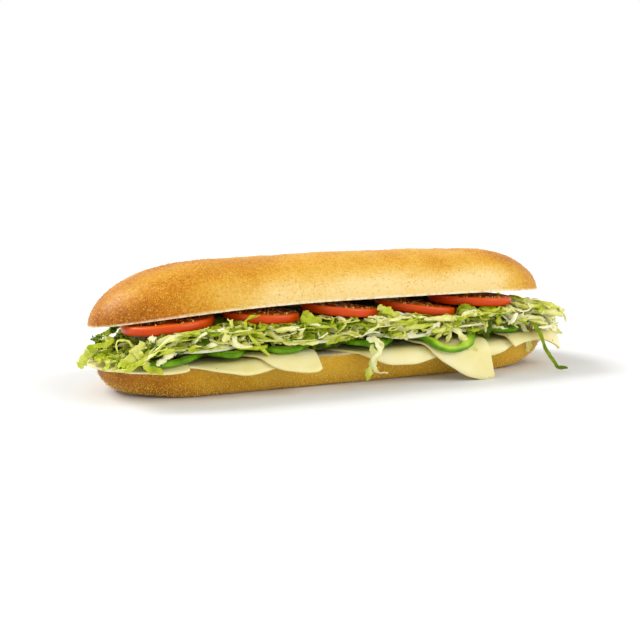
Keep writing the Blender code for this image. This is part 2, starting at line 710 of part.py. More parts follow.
def biggest_shell(item):
    """Keeps the outer surface of the largest body: sealed hollows are filled and loose scraps dropped.

    Corners in the middle of a straight edge go first. Else two faces could be cut by the same diagonal.
    """
    built = bmesh.new()
    built.from_mesh(item.data)
    midway = [corner for corner in built.verts if len(corner.link_edges) == 2]
    bmesh.ops.dissolve_verts(built, verts=midway)
    bmesh.ops.triangulate(built, faces=built.faces)
    bmesh.ops.dissolve_degenerate(built, edges=built.edges, dist=SLIVER)
    bmesh.ops.triangulate(built, faces=built.faces)
    unseen = set(built.faces)
    shells = []
    while unseen:
        stack = [unseen.pop()]
        shell = []
        while stack:
            face = stack.pop()
            shell.append(face)
            for edge in face.edges:
                for other in edge.link_faces:
                    if other in unseen:
                        unseen.remove(other)
                        stack.append(other)
        shells.append(shell)
    shells.sort(key=len)
    for shell in shells[:-1]:
        bmesh.ops.delete(built, geom=shell, context="FACES")
    loose = [corner for corner in built.verts if not corner.link_faces]
    bmesh.ops.delete(built, geom=loose, context="VERTS")
    built.to_mesh(item.data)
    built.free()


def build_lettuce(material, below, above):
    """The core and every shred that clears its neighbours, joined by one Boolean union."""
    draw = random.Random(SEED)
    heap = add_object("lettuce", build_core(below, above), material)
    core_tree = tree_of(heap)
    shreds = bpy.data.collections.new("shreds")
    kept = []
    for path, width, first, last in shred_plan(draw):
        built = ribbon(path, width, first, last)
        own = BVHTree.FromBMesh(built)
        off_table = min(corner.co.z for corner in built.verts) > LEAST_FALL
        free = sum(bool(own.overlap(other)) for other in kept) <= MOST_CROSSINGS
        rooted = bool(own.overlap(core_tree))
        if not (off_table and free and rooted and is_clear(built, (below, above))):
            built.free()
            continue
        kept.append(own)
        mesh = bpy.data.meshes.new("shred")
        built.to_mesh(mesh)
        built.free()
        shreds.objects.link(bpy.data.objects.new("shred", mesh))
    join = heap.modifiers.new("join shreds", "BOOLEAN")
    join.operation = "UNION"
    join.operand_type = "COLLECTION"
    join.collection = shreds
    join.solver = "MANIFOLD"  # the exact one leaves scraps where so many thin strips cross
    graph = bpy.context.evaluated_depsgraph_get()
    joined = bpy.data.meshes.new_from_object(heap.evaluated_get(graph))
    heap.modifiers.clear()
    heap.data = joined
    print("lettuce shreds kept:", len(shreds.objects))
    for item in list(shreds.objects):
        bpy.data.objects.remove(item)
    bpy.data.collections.remove(shreds)
    biggest_shell(heap)
    return heap


def main():
    clear_scene()
    crust = finish("crust", (0.62, 0.33, 0.09), 0.55)
    cheese = finish("cheese", (0.85, 0.78, 0.42), 0.4)
    pepper = finish("green_pepper", (0.12, 0.3, 0.02), 0.25)
    onion = finish("onion", (0.75, 0.78, 0.62), 0.3)
    tomato = finish("tomato", (0.6, 0.06, 0.01), 0.25)
    leaf = finish("lettuce", (0.35, 0.5, 0.1), 0.45)

    base = build_base(crust)
    trees = [tree_of(base)]
    lower = [base]
    lower += build_cheese(cheese, trees)
    lower += build_arcs(PEPPER_ARCS, PEPPER, pepper, trees)
    lower += build_arcs(ONION_ARCS, ONION, onion, trees)
    upper = [build_top(crust), *build_tomatoes(tomato)]
    build_lettuce(leaf, joint_tree(lower), joint_tree(upper))


main()
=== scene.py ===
# %% [markdown]
# # A submarine sandwich
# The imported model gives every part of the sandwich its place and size. This lesson gives each part its
# surface: crust, crumb, cheese, pepper, onion, tomato and lettuce. Every shape is a formula worked out
# on whole numpy arrays, so one change of a number reshapes a piece at once.

# %% Load the frame
import math

import bmesh
import bpy
import numpy as np
from mathutils import Matrix, Vector
from mathutils.bvhtree import BVHTree


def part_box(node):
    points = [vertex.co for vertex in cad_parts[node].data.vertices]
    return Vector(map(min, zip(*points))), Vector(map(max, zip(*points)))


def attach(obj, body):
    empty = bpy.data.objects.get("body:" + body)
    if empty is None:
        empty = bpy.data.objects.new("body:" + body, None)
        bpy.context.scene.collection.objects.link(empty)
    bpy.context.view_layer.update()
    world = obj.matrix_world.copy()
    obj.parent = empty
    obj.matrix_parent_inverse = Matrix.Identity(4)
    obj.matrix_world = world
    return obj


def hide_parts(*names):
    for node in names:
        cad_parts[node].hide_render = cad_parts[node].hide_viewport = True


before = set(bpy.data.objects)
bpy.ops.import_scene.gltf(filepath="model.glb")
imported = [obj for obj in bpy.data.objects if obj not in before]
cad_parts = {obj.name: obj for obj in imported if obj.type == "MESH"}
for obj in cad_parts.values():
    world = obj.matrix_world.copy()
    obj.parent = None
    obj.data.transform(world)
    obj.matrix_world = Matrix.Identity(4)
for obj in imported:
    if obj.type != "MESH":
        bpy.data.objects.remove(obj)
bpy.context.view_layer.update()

MM = 0.001

# %% [markdown]
# Colours are picked as sRGB hex codes, the way a picture shows them. Blender's shaders work in linear
# light, so one function turns one into the other. A second one adds a shader node with its settings,
# its fixed input values and its links, which keeps the materials short enough to read. Two more begin
# and end a material.

# %% Colour and node helpers
def linear(code):
    """sRGB to linear light: ((c + 0.055) / 1.055) ** 2.4, and c / 12.92 in the darkest part."""
    srgb = np.array([int(code[i : i + 2], 16) / 255 for i in (1, 3, 5)])
    return (*np.where(srgb <= 0.04045, srgb / 12.92, ((srgb + 0.055) / 1.055) ** 2.4), 1.0)


def add(tree, kind, values=None, links=None, stops=None, **settings):
    """A node of the kind, its input values, what feeds its inputs, and a colour ramp's stops.

    A link starts at a socket, or at the first output of a node. A stop's colour is a hex code, or
    four numbers in linear light.
    """
    node = tree.nodes.new("ShaderNode" + kind)
    for key, value in settings.items():
        setattr(node, key, value)
    for key, value in (values or {}).items():
        node.inputs[key].default_value = value
    for key, source in (links or {}).items():
        start = source.outputs[0] if isinstance(source, bpy.types.Node) else source
        tree.links.new(start, node.inputs[key])
    if stops:
        stops = [(at, linear(colour) if len(colour) == 7 else colour) for at, colour in stops]
        elements = node.color_ramp.elements
        elements.remove(elements[1])
        elements[0].position, elements[0].color = stops[0]
        for position, colour in stops[1:]:
            elements.new(position).color = colour
    return node


def start_material(name, values):
    """A new material with fixed values on its shader, its tree, and the place of a point on it."""
    material = bpy.data.materials.new(name)
    material.use_nodes = True
    tree = material.node_tree
    for key, value in values.items():
        tree.nodes["Principled BSDF"].inputs[key].default_value = value
    return material, tree, add(tree, "TexCoord").outputs["Object"]


def finish_material(material, colour, height=None, strength=0.0, depth=0.0):
    """Links the colour to the shader and, from a height, a bump of the depth in metres."""
    tree = material.node_tree
    shader = tree.nodes["Principled BSDF"]
    tree.links.new(colour, shader.inputs["Base Color"])
    if height is not None:
        bump = add(tree, "Bump", {"Strength": strength, "Distance": depth}, {"Height": height})
        tree.links.new(bump.outputs["Normal"], shader.inputs["Normal"])
    return material


# %% [markdown]
# A piece is a grid of points: rows along it, columns round it. Each four neighbours make a face.
# Where a row shrinks to one point, as at the middle of a slice, the doubles are welded and the surface
# is closed. Numbers kept with the points, such as how well baked the crust is and where light is painted
# on it, colour it later.

# %% Mesh helpers
WELD = 0.02 * MM  # points closer than this become one


def quads(rows, columns, wrap=True):
    """Corners of the faces between neighbouring rows. With wrap, the last column meets the first."""
    i = np.arange(rows - 1)[:, None]
    j = np.arange(columns if wrap else columns - 1)[None, :]
    k = (j + 1) % columns
    corners = (i * columns + j, i * columns + k, (i + 1) * columns + k, (i + 1) * columns + j)
    return np.stack(corners, -1).reshape(-1, 4)


def make_piece(name, points, faces, material, slot, nodes=(), weld=0.0, smooth_angle=60, **fields):
    """Puts points, faces and per-point numbers into a mesh that rides on the sandwich."""
    mesh = bpy.data.meshes.new(name)
    points = np.ascontiguousarray(points, np.float32).reshape(-1, 3)
    mesh.vertices.add(len(points))
    mesh.vertices.foreach_set("co", points.ravel())
    mesh.loops.add(faces.size)
    mesh.loops.foreach_set("vertex_index", faces.astype(np.int32).ravel())
    mesh.polygons.add(len(faces))
    mesh.polygons.foreach_set("loop_start", np.arange(0, faces.size, faces.shape[1], dtype=np.int32))
    mesh.update(calc_edges=True)
    for key, values in fields.items():
        layer = mesh.attributes.new(key, "FLOAT", "POINT")
        layer.data.foreach_set("value", np.ascontiguousarray(values, np.float32).ravel())
    built = bmesh.new()
    built.from_mesh(mesh)
    if weld:
        bmesh.ops.remove_doubles(built, verts=built.verts, dist=weld)
    bmesh.ops.recalc_face_normals(built, faces=built.faces)
    built.to_mesh(mesh)
    built.free()
    mesh.shade_smooth()
    mesh.set_sharp_from_angle(angle=math.radians(smooth_angle))
    mesh.materials.append(material)
    piece = bpy.data.objects.new(name, mesh)
    bpy.context.scene.collection.objects.link(piece)
    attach(piece, "root")
    if nodes:
        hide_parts(*nodes)
    print(f"{name}: {sum(len(face.vertices) - 2 for face in mesh.polygons)} triangles")
    return piece


def smooth(low, high, value):
    """0 below low, 1 above high, and 3t^2 - 2t^3 between."""
    share = np.clip((value - low) / (high - low), 0, 1)
    return share * share * (3 - 2 * share)


def waves(points, length, seed, count=28):
    """Soft unevenness from about -1 to 1: the sum of sine waves of the length, each its own way."""
    draw = np.random.default_rng(seed)
    ways = draw.normal(size=(3, count))
    ways /= np.linalg.norm(ways, axis=0) * length * draw.uniform(0.7, 1.4, count) / (2 * np.pi)
    phase = draw.uniform(0, 2 * np.pi, count)
    return np.sin(np.asarray(points) @ ways + phase).sum(-1) / math.sqrt(count)


# %% [markdown]
# ## The roll
# The roll was split lengthwise. Seen from above each half is a straight spine with a tapered end,
# a superellipse, at either side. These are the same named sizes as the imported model's, so that each
# new surface lies on its solid, but the grid is ten times finer and can carry the crust's dimples.

# %% Sizes and outline of the roll
LEFT, RIGHT, HALF_WIDTH, LEFT_TAPER, RIGHT_TAPER = range(5)
TOP_PLAN = np.array([-152.5, 146, 39, 74, 58]) * MM
BASE_PLAN = np.array([-147.5, 148.5, 38.5, 60, 50]) * MM
FULLNESS = 2.2
TOP_SEAT, TOP_CREST, CREST_FALL = 48.7 * MM, 76.9 * MM, 1.1 * MM
TOP_LEAN = math.radians(-5)
LEFT_DROOP, RIGHT_DROOP = 9 * MM, 2.5 * MM
BASE_HEIGHT, LEFT_THINNING, RIGHT_THINNING = 20 * MM, 4 * MM, 2 * MM
LEFT_LIFT, RIGHT_LIFT = 1.5 * MM, 3.5 * MM
BASE_TUCK, END_TUCK = 10 * MM, 5 * MM


def spine_ends(plan):
    return plan[LEFT] + plan[LEFT_TAPER], plan[RIGHT] - plan[RIGHT_TAPER]


def rim_reach(plan, out_x, out_y):
    """Distance from spine to rim: (|x / taper|^n + |y / half width|^n) ^ (-1 / n)."""
    taper = np.where(out_x < 0, plan[LEFT_TAPER], plan[RIGHT_TAPER])
    across = np.abs(out_y / plan[HALF_WIDTH]) ** FULLNESS
    return (np.abs(out_x / taper) ** FULLNESS + across) ** (-1 / FULLNESS)


def outline(plan, side=150, end=96):
    """Spine and rim points, counter-clockwise: front, right end, back, left end."""
    low, high = spine_ends(plan)
    turn = np.pi * np.arange(end) / end
    along = low + (high - low) * (np.arange(side) / side)
    back = along[::-1] + (high - low) / side
    edge = np.full(side, plan[HALF_WIDTH])
    right_x, right_y = np.sin(turn), -np.cos(turn)
    reach_r, reach_l = rim_reach(plan, right_x, right_y), rim_reach(plan, -right_x, -right_y)
    spine = np.concatenate([along, np.full(end, high), back, np.full(end, low)])
    rim_x = np.concatenate([along, high + right_x * reach_r, back, low - right_x * reach_l])
    rim_y = np.concatenate([-edge, right_y * reach_r, edge, -right_y * reach_l])
    return np.stack([spine, np.zeros_like(spine)], -1), np.stack([rim_x, rim_y], -1)


def top_cut(x):
    """Height of the upper cut face: it droops at both ends."""
    left = TOP_SEAT - LEFT_DROOP * np.clip(x / TOP_PLAN[LEFT], 0, 2) ** 2.3
    return np.where(x < 0, left, TOP_SEAT - RIGHT_DROOP * np.clip(x / TOP_PLAN[RIGHT], 0, 2) ** 4)


def base_cut(x):
    """Height of the lower cut face: it thins out at both ends."""
    left = BASE_HEIGHT - LEFT_THINNING * np.clip(x / BASE_PLAN[LEFT], 0, 1) ** 3
    return np.where(x < 0, left, BASE_HEIGHT - RIGHT_THINNING * np.clip(x / BASE_PLAN[RIGHT], 0, 1) ** 2)


# %% [markdown]
# The crust of a soft baked roll is golden, darker where the heat reached it first: at the ends and on
# the crown. Its lower front is painted paler, as painted light from the white ground below it, and a patch
# high on the left end is painted lighter as a painted sheen. Cornmeal from the tray sticks to it in yellow
# grains under a millimetre wide. A crust scatters light like matt paper, with a weak sheen from its baked
# starch, so its roughness is about 0.5 and its IOR 1.45.

# %% Crust material
def specks(tree, place, scale, channel, share, radius, strength):
    """Strength inside round specks, 0 elsewhere. Cells are 1 / scale wide, and a share holds one each."""
    cells = add(tree, "TexVoronoi", {"Scale": scale}, {"Vector": place})
    tone = add(tree, "SeparateColor", links={"Color": cells.outputs["Color"]})
    chosen = add(tree, "Math", {1: 1 - share}, {0: tone.outputs[channel]}, operation="GREATER_THAN")
    inside = add(tree, "Math", {1: radius}, {0: cells}, operation="LESS_THAN")
    speck = add(tree, "Math", links={0: chosen, 1: inside}, operation="MULTIPLY")
    return add(tree, "Math", {1: strength}, {0: speck}, operation="MULTIPLY")


def crust_material(name, stops, speck_share):
    """Colour from the bake field with its painted light, crumb where it is cut, specks of cornmeal, dimpled
    bump.
    """
    material, tree, place = start_material(
        name, {"Roughness": 0.52, "IOR": 1.45, "Specular IOR Level": 0.14, "Subsurface Weight": 0.05,
               "Coat Weight": 0.22, "Coat Roughness": 0.34,
               "Subsurface Radius": (1.0, 0.6, 0.3), "Subsurface Scale": 0.002}
    )
    baked = add(tree, "Attribute", attribute_name="baked").outputs["Fac"]
    cut = add(tree, "Attribute", attribute_name="cut").outputs["Fac"]
    blotch = add(tree, "TexNoise", {"Scale": 60, "Detail": 3}, {"Vector": place})  # blotches 15 mm wide
    pores = add(tree, "TexNoise", {"Scale": 700, "Detail": 3, "Roughness": 0.7}, {"Vector": place})
    shift = add(tree, "Math", {1: 0.3, 2: -0.15}, {0: blotch}, operation="MULTIPLY_ADD")
    fleck = add(tree, "Math", {1: 0.8, 2: -0.4}, {0: pores}, operation="MULTIPLY_ADD")
    both = add(tree, "Math", links={0: shift, 1: fleck})
    level = add(tree, "Math", links={0: baked, 1: both}, use_clamp=True)
    colour = add(tree, "ValToRGB", links={"Fac": level}, stops=stops)
    # Cornmeal lies in cells 1.1 mm wide, and a few other cells hold a scorched dot.
    meal = specks(tree, place, 900, 0, speck_share, 0.33, 0.5)
    dusted = add(tree, "Mix", {"B": linear("#F2CA66")}, {"Factor": meal, "A": colour}, data_type="RGBA")
    dot = specks(tree, place, 900, 1, 0.012, 0.33, 0.6)
    marked = add(tree, "Mix", {"B": linear("#7A4A16")}, {"Factor": dot, "A": dusted.outputs["Result"]},
                 data_type="RGBA")
    holes = add(tree, "TexNoise", {"Scale": 420, "Detail": 2}, {"Vector": place})
    crumb = add(tree, "ValToRGB", links={"Fac": holes},
                stops=[(0.3, "#D9BC82"), (0.5, "#F6E7C4"), (0.8, "#FFF6E0")])
    final = add(tree, "Mix", links={"Factor": cut, "A": marked.outputs["Result"], "B": crumb},
                data_type="RGBA")
    rough = add(tree, "Math", {1: 2.0}, {0: meal, 2: pores}, operation="MULTIPLY_ADD")
    return finish_material(material, final.outputs["Result"], rough, 0.35, 0.5 * MM)


golden_crust = crust_material(
    "golden_crust",
    [(0.0, "#EBD08C"), (0.25, "#E3BA5A"), (0.5, "#D69E2A"), (0.75, "#BC7402"), (1.0, "#8C4800")],
    0.3,
)
dusted_crust = crust_material(
    "dusted_crust",
    [(0.0, "#E0B84C"), (0.4, "#CFA022"), (0.7, "#B67A0A"), (1.0, "#824400")],
    0.2,
)

# %% [markdown]
# The top half is a dome on the outline. From the rim each ring climbs by the sine of an angle and
# closes in by its cosine, with powers a little under 1 to make the side full. The cut face below is
# nearly flat. The crust gets its slow swell and its dimples as real relief in the points.

# %% Top half of the roll
def top_half():
    """Rings over the cut face and up the dome, tilted by the lean about the spine's seat."""
    spine, rim = outline(TOP_PLAN)
    shares = np.linspace(0, 1, 17)[:-1][:, None, None] ** 0.7
    floor = spine + (rim - spine) * shares
    rise = np.linspace(0, np.pi / 2, 71)[:, None]
    end = smooth(15 * MM, 70 * MM, np.abs(rim[:, 0] - spine[:, 0]))
    out = np.cos(rise) ** (0.93 + 0.07 * end)
    up = np.sin(rise) ** (0.88 + 0.2 * end)
    flat = spine + (rim - spine) * out[..., None]
    crest = TOP_CREST - CREST_FALL * (spine[:, 0] / spine_ends(TOP_PLAN)[0]) ** 2
    cut = top_cut(flat[..., 0])
    dome = np.dstack([flat, cut + (crest - cut) * up])
    swell = waves(dome, 55 * MM, 3) * 0.35 * MM + waves(dome, 14 * MM, 4) * 0.14 * MM
    swell += waves(dome, 6 * MM, 5) * 0.07 * MM
    dome[..., 2] += swell * np.sin(rise)
    dome[..., 1] += swell * np.cos(rise) * np.sign(dome[..., 1]) * np.sin(rise * 2)
    under = np.dstack([floor, top_cut(floor[..., 0])])
    under[..., 2] += waves(under, 9 * MM, 6) * 0.25 * MM * (1 - shares[..., 0] ** 4)
    points = np.concatenate([under, dome])
    height = np.concatenate([np.zeros(under.shape[:2]), np.broadcast_to(np.sin(rise), dome.shape[:2])])
    pivot = np.array([0, 0, TOP_SEAT])
    lean = np.array(Matrix.Rotation(TOP_LEAN, 3, "X"))
    return (points - pivot) @ lean.T + pivot, height, len(under)


points, height, cut_rows = top_half()
x_mm, y_mm = points[..., 0] / MM, points[..., 1] / MM
front = smooth(10, -25, y_mm)
baked = 0.2 + 0.48 * smooth(-62, -140, x_mm) + 0.52 * smooth(88, 140, x_mm)
baked += 0.3 * smooth(0.1, 1.0, height) * (1 - smooth(-60, -140, x_mm)) + 0.14 * smooth(20, -90, x_mm)
baked += 0.1 * front * smooth(0.5, 0.1, height) * smooth(-60, -95, x_mm)
baked += 0.07 * smooth(0, 60, x_mm) * smooth(0.3, 0.9, height)
# painted sheen: the upper part of the left end is made lighter
baked -= 0.12 * smooth(-100, -125, x_mm) * smooth(0.2, 0.6, height)
# painted light: the lower front is made paler, for the light the white ground throws up
baked -= 0.2 * front * smooth(0.75, 0.2, height) * smooth(-105, -50, x_mm) * smooth(140, 100, x_mm)
baked += 0.06 * waves(points, 30 * MM, 8)
cut = np.zeros(points.shape[:2])
cut[:cut_rows + 1] = 1.0
cut[cut_rows + 1] = 0.5
top_points = points
make_piece("top_half", points, quads(*points.shape[:2]), golden_crust, "crust", ["top_roll"],
           weld=WELD, smooth_angle=50, baked=baked, cut=cut)

# %% [markdown]
# The bottom half is a shallow boat: a flat foot, a side that is a quarter of an oval, a softened rim
# and the cut face. Its lower edge stood in cornmeal, so most of the grains sit there.

# %% Bottom half of the roll
def bottom_half():
    """Foot, side by the sine and cosine of an angle, then the cut face back to the spine."""
    spine, rim = outline(BASE_PLAN)
    arm = rim - spine
    length = np.linalg.norm(arm, axis=-1, keepdims=True)
    tuck = BASE_TUCK + END_TUCK * smooth(20 * MM, 45 * MM, np.abs(arm[:, :1]))
    foot = spine + arm * (length - tuck) / length

    def underside(x):
        left = LEFT_LIFT * smooth(100 * MM, 140 * MM, -x)
        return np.where(x < 0, left, RIGHT_LIFT * smooth(95 * MM, 140 * MM, x))

    flat = spine + (foot - spine) * np.linspace(0, 1, 9)[:-1][:, None, None]
    sole = np.dstack([flat, underside(flat[..., 0])])
    angle = np.linspace(0, np.pi / 2, 31)[:, None]
    plan = foot + (rim - foot) * np.sin(angle)[..., None]
    low = underside(plan[..., 0])
    side = np.dstack([plan, low + (base_cut(rim[:, 0]) - 1.2 * MM - low) * (1 - np.cos(angle))])
    bulge = waves(side, 30 * MM, 11) * 0.25 * MM + waves(side, 7 * MM, 12) * 0.08 * MM
    side[..., :2] += (arm / length) * (bulge * np.sin(angle))[..., None]
    inward = spine + arm * np.linspace(0.975, 0, 14)[:, None, None]
    lid = np.dstack([inward, base_cut(inward[..., 0])])
    return np.concatenate([sole, side, lid]), len(sole), len(side)


points, sole_rows, side_rows = bottom_half()
x_mm = points[..., 0] / MM
baked = 0.3 + 0.45 * smooth(-60, -140, x_mm) + 0.1 * smooth(100, 146, x_mm) + 0.08 * smooth(30, -80, x_mm)
baked[sole_rows:] += 0.08 * smooth(8 * MM, 4 * MM, points[sole_rows:, :, 2])
baked += 0.05 * waves(points, 30 * MM, 13)
cut = np.zeros(points.shape[:2])
cut[sole_rows + side_rows :] = 1.0
base_points = points
make_piece("bottom_half", points, quads(*points.shape[:2]), dusted_crust, "crust", ["bottom_roll"],
           weld=WELD, smooth_angle=50, baked=baked, cut=cut)

# %% [markdown]
# Cornmeal grains are broken bits of maize, 0.3 to 1 mm wide. They catch the light as bright points
# and roughen the loaf's outline, which paint alone can't do. Each is an eight-sided crystal set into
# the crust. Their number is high, so their shape is as simple as a shape can be.

# %% Cornmeal grains
def scatter(centres, sizes, seed):
    """An octahedron on each centre, stretched and turned by seeded draws."""
    draw = np.random.default_rng(seed)
    shape = np.array([(1, 0, 0), (-1, 0, 0), (0, 1, 0), (0, -1, 0), (0, 0, 1), (0, 0, -1)], float)
    sides = np.array([(0, 2, 4), (2, 1, 4), (1, 3, 4), (3, 0, 4), (2, 0, 5), (1, 2, 5), (3, 1, 5),
                      (0, 3, 5)])
    turn, _ = np.linalg.qr(draw.normal(size=(len(centres), 3, 3)))
    stretch = draw.uniform(0.6, 1.3, (len(centres), 1, 3))
    points = (shape * stretch) @ turn * sizes[:, None, None] + centres[:, None]
    faces = sides + 6 * np.arange(len(centres))[:, None, None]
    return points, faces.reshape(-1, 3)


# Maize grit is hard, slightly glassy, and amber to yellow.
cornmeal, tree, _ = start_material(
    "cornmeal", {"Roughness": 0.35, "IOR": 1.5, "Subsurface Weight": 0.2, "Subsurface Scale": 0.0006}
)
tone = add(tree, "Attribute", attribute_name="tone").outputs["Fac"]
colour = add(tree, "ValToRGB", links={"Fac": tone},
             stops=[(0.0, "#C4841A"), (0.4, "#DCA634"), (0.7, "#EEC658"), (1.0, "#F8D860")])
finish_material(cornmeal, colour.outputs[0])
draw = np.random.default_rng(21)


def pick(points, weights, count):
    """Draws count points of the grid, each as likely as its weight, and shifts them off the grid."""
    flat, odds = points.reshape(-1, 3), weights.ravel()
    chosen = draw.choice(len(flat), count, replace=False, p=odds / odds.sum())
    return flat[chosen] + draw.normal(0, 0.35 * MM, (count, 3)) * (1, 0.4, 0.4)


weights = np.zeros(top_points.shape[:2])
dome_height = np.linspace(0, 1, len(top_points) - cut_rows)[:, None]
weights[cut_rows:] = (0.12 + dome_height) * (0.6 + 0.6 * smooth(0, -110 * MM, top_points[cut_rows:, :, 0]))
weights[cut_rows:] *= np.cos(dome_height * np.pi / 2 * 0.98)
centres = pick(top_points, weights, 11000)
grains, faces = scatter(centres, draw.uniform(0.16, 0.36, len(centres)) * MM, 22)
tone = np.repeat(draw.uniform(0, 0.75, len(centres)), 6)
make_piece("cornmeal_on_top", grains, faces, cornmeal, "crust", tone=tone, smooth_angle=20)

weights = np.zeros(base_points.shape[:2])
side = slice(sole_rows, sole_rows + side_rows)
weights[side] = 0.03 + np.exp(-(((base_points[side, :, 2] - 5 * MM) / (3.4 * MM)) ** 2))
centres = pick(base_points, weights, 9000)
centres[:, 2] = np.maximum(centres[:, 2], 0.62 * MM)
grains, faces = scatter(centres, draw.uniform(0.25, 0.48, len(centres)) * MM, 23)
tone = np.repeat(draw.uniform(0.4, 1, len(centres)), 6)
make_piece("cornmeal_on_base", grains, faces, cornmeal, "crust", tone=tone, smooth_angle=20)

# %% [markdown]
# ## Draping
# Cheese, pepper and onion lie on the bottom half and bend over its rim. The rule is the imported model's:
# a sheet runs flat to the rim, turns down on an arc of 6 mm radius, and hangs straight from there. How
# steeply it hangs grows from the left end to the right, as the slices in the real sandwich do.

# %% The drape
FOLD_START, FOLD_RADIUS = 2 * MM, 6 * MM


def drape(x, y, lift, sag=1.0):
    """Where flat positions x, y come to on a sheet that lies lift above the bread."""
    low, high = spine_ends(BASE_PLAN)
    spine = np.clip(x, low, high)
    length = np.hypot(x - spine, y)
    safe = np.maximum(length, 1e-6)
    out_x, out_y = (x - spine) / safe, np.where(length < 1e-6, 1.0, y / safe)
    beyond = np.maximum(0, length - rim_reach(BASE_PLAN, out_x, out_y) - FOLD_START)
    steep = 8 + 40 * smooth(-130 * MM, -50 * MM, x) + 22 * smooth(-20 * MM, 80 * MM, x)
    steep = np.radians(steep + 3 * np.sin(x / (11 * MM))) * sag
    bend = np.minimum(beyond / FOLD_RADIUS, steep)
    straight = np.maximum(0, beyond - FOLD_RADIUS * steep)
    out = FOLD_RADIUS * np.sin(bend) + straight * np.cos(steep) + lift * np.sin(bend)
    fall = FOLD_RADIUS * (1 - np.cos(bend)) + straight * np.sin(steep) - lift * np.cos(bend)
    reach = length - beyond + out
    return np.stack([spine + out_x * reach, out_y * reach, base_cut(x) - fall + 0 * reach], -1)


def settle(make, node):
    """Works a draped piece out at height 0 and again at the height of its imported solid."""
    return make(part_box(node)[1].z - make(0.0)[..., 2].max())


# %% [markdown]
# ## Cheese
# Round slices of a mild white cheese, 1.5 mm thick, some cut in half. A slice is a disc in polar
# coordinates. It runs out along its upper face, round a soft edge, and back along its lower face.
# The fat in cheese lets light in for a few millimetres, so it has some subsurface scattering, and black
# pepper is strewn on it in specks about a millimetre wide.

# %% Cheese
cheese, tree, place = start_material(
    "mild_cheese", {"Roughness": 0.38, "IOR": 1.45, "Subsurface Weight": 0.25,
                    "Subsurface Radius": (1.0, 0.8, 0.45), "Subsurface Scale": 0.003}
)
cloud = add(tree, "TexNoise", {"Scale": 45, "Detail": 3}, {"Vector": place})  # oily patches 20 mm wide
colour = add(tree, "ValToRGB", links={"Fac": cloud},
             stops=[(0.3, "#E4D684"), (0.55, "#EAE0A6"), (0.8, "#EEE7C0")])
speck = specks(tree, place, 300, 0, 0.07, 0.17, 1.0)
peppered = add(tree, "Mix", {"B": linear("#3A2A14")}, {"Factor": speck, "A": colour}, data_type="RGBA")
fine = add(tree, "TexNoise", {"Scale": 500, "Detail": 2}, {"Vector": place})
finish_material(cheese, peppered.outputs["Result"], fine, 0.1, 0.4 * MM)

CHEESE_RADIUS, CHEESE_THICKNESS = 49 * MM, 1.5 * MM
RAY = 26  # points from a slice's middle to its edge, on each face
# Centre in millimetres, start angle and sweep in degrees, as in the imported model.
CHEESE_SLICES = ((-72, -2, 0, 360), (30.5, -4, 0, 360), (80.5, -3, -90, 180), (-105.5, 1, 90, 180),
                 (-31, -6, 94, 180), (85, -16.5, 93, 180), (150, -34, 100, 96))


def cheese_slice(x, y, start, sweep, lift):
    """Rays from the centre by angle, each a loop out on top and back below, draped over the rim."""
    turn = np.linspace(0, sweep, int(sweep / 2) + 1)
    tip = np.exp(-(np.minimum(turn, sweep - turn) / 2.0) ** 2) if sweep < 360 else 0 * turn
    angle = np.radians(start + turn)[:, None]
    edge = CHEESE_RADIUS - 1.6 * MM * tip[:, None]
    edge = edge + 0.3 * MM * np.sin(angle * 7 + x * 90) + 0.2 * MM * np.sin(angle * 17 + x * 40)
    share = np.concatenate([np.linspace(0, 0.99, RAY), [1.0, 1.0], np.linspace(0.99, 0, RAY)])[None, :]
    level = np.concatenate([np.full(RAY, 1.0), [0.75, 0.25], np.full(RAY, 0.0)])[None, :]
    flat_x = x + edge * share * np.cos(angle)
    flat_y = y + edge * share * np.sin(angle)
    ripple = waves(np.dstack([flat_x, flat_y, 0 * flat_x]), 26 * MM, 31) * 0.25 * MM * share**3
    return drape(flat_x, flat_y, lift + level * CHEESE_THICKNESS + ripple)


for number, (x, y, start, sweep) in enumerate(CHEESE_SLICES, 1):
    points = settle(lambda lift: cheese_slice(x * MM, y * MM, start, sweep, lift), f"cheese_{number}")
    points[..., 2] = np.maximum(points[..., 2], 0.1 * MM)
    rows, columns = points.shape[:2]
    faces = quads(rows, columns, wrap=False)
    if sweep < 360:  # a round slice's last ray is welded to its first, a cut one gets two flat caps
        near = np.arange(RAY - 1)
        first = np.stack([near + 1, near, columns - 1 - near, columns - 2 - near], -1)
        middle = np.array([[RAY, RAY - 1, columns - RAY, RAY + 1]])
        cap = np.concatenate([first, middle])
        faces = np.concatenate([faces, cap, cap[:, ::-1] + (rows - 1) * columns])
    make_piece(f"cheese_slice_{number}", points, faces, cheese, "cheese", [f"cheese_{number}"],
               weld=0.01 * MM, smooth_angle=70)

# %% [markdown]
# ## Green pepper
# A ring cut across a green pepper: shiny dark skin on the outside, a juicy pale wall inside. A ring's
# section is a rounded box, carried along an arc that ripples with the fruit's lobes. The skin attribute
# is 1 on the outer side and 0 on the flesh, and the material mixes the two.

# %% Green pepper
pepper, tree, place = start_material(
    "green_pepper", {"IOR": 1.4, "Roughness": 0.3, "Specular IOR Level": 0.25, "Coat Weight": 0.08,
                     "Coat Roughness": 0.1, "Subsurface Weight": 0.12,
                     "Subsurface Radius": (0.6, 1.0, 0.2), "Subsurface Scale": 0.002}
)
skin = add(tree, "Attribute", attribute_name="skin").outputs["Fac"]
mottle = add(tree, "TexNoise", {"Scale": 160, "Detail": 3}, {"Vector": place})
dark = add(tree, "ValToRGB", links={"Fac": mottle},
           stops=[(0.3, "#467A02"), (0.55, "#629A04"), (0.8, "#88B80C")])
flesh = add(tree, "ValToRGB", links={"Fac": mottle},
            stops=[(0.3, "#8DB81C"), (0.55, "#B3CF30"), (0.8, "#D6E070")])
both = add(tree, "Mix", links={"Factor": skin, "A": flesh, "B": dark}, data_type="RGBA")
grain = add(tree, "TexNoise", {"Scale": 900, "Detail": 1}, {"Vector": place})
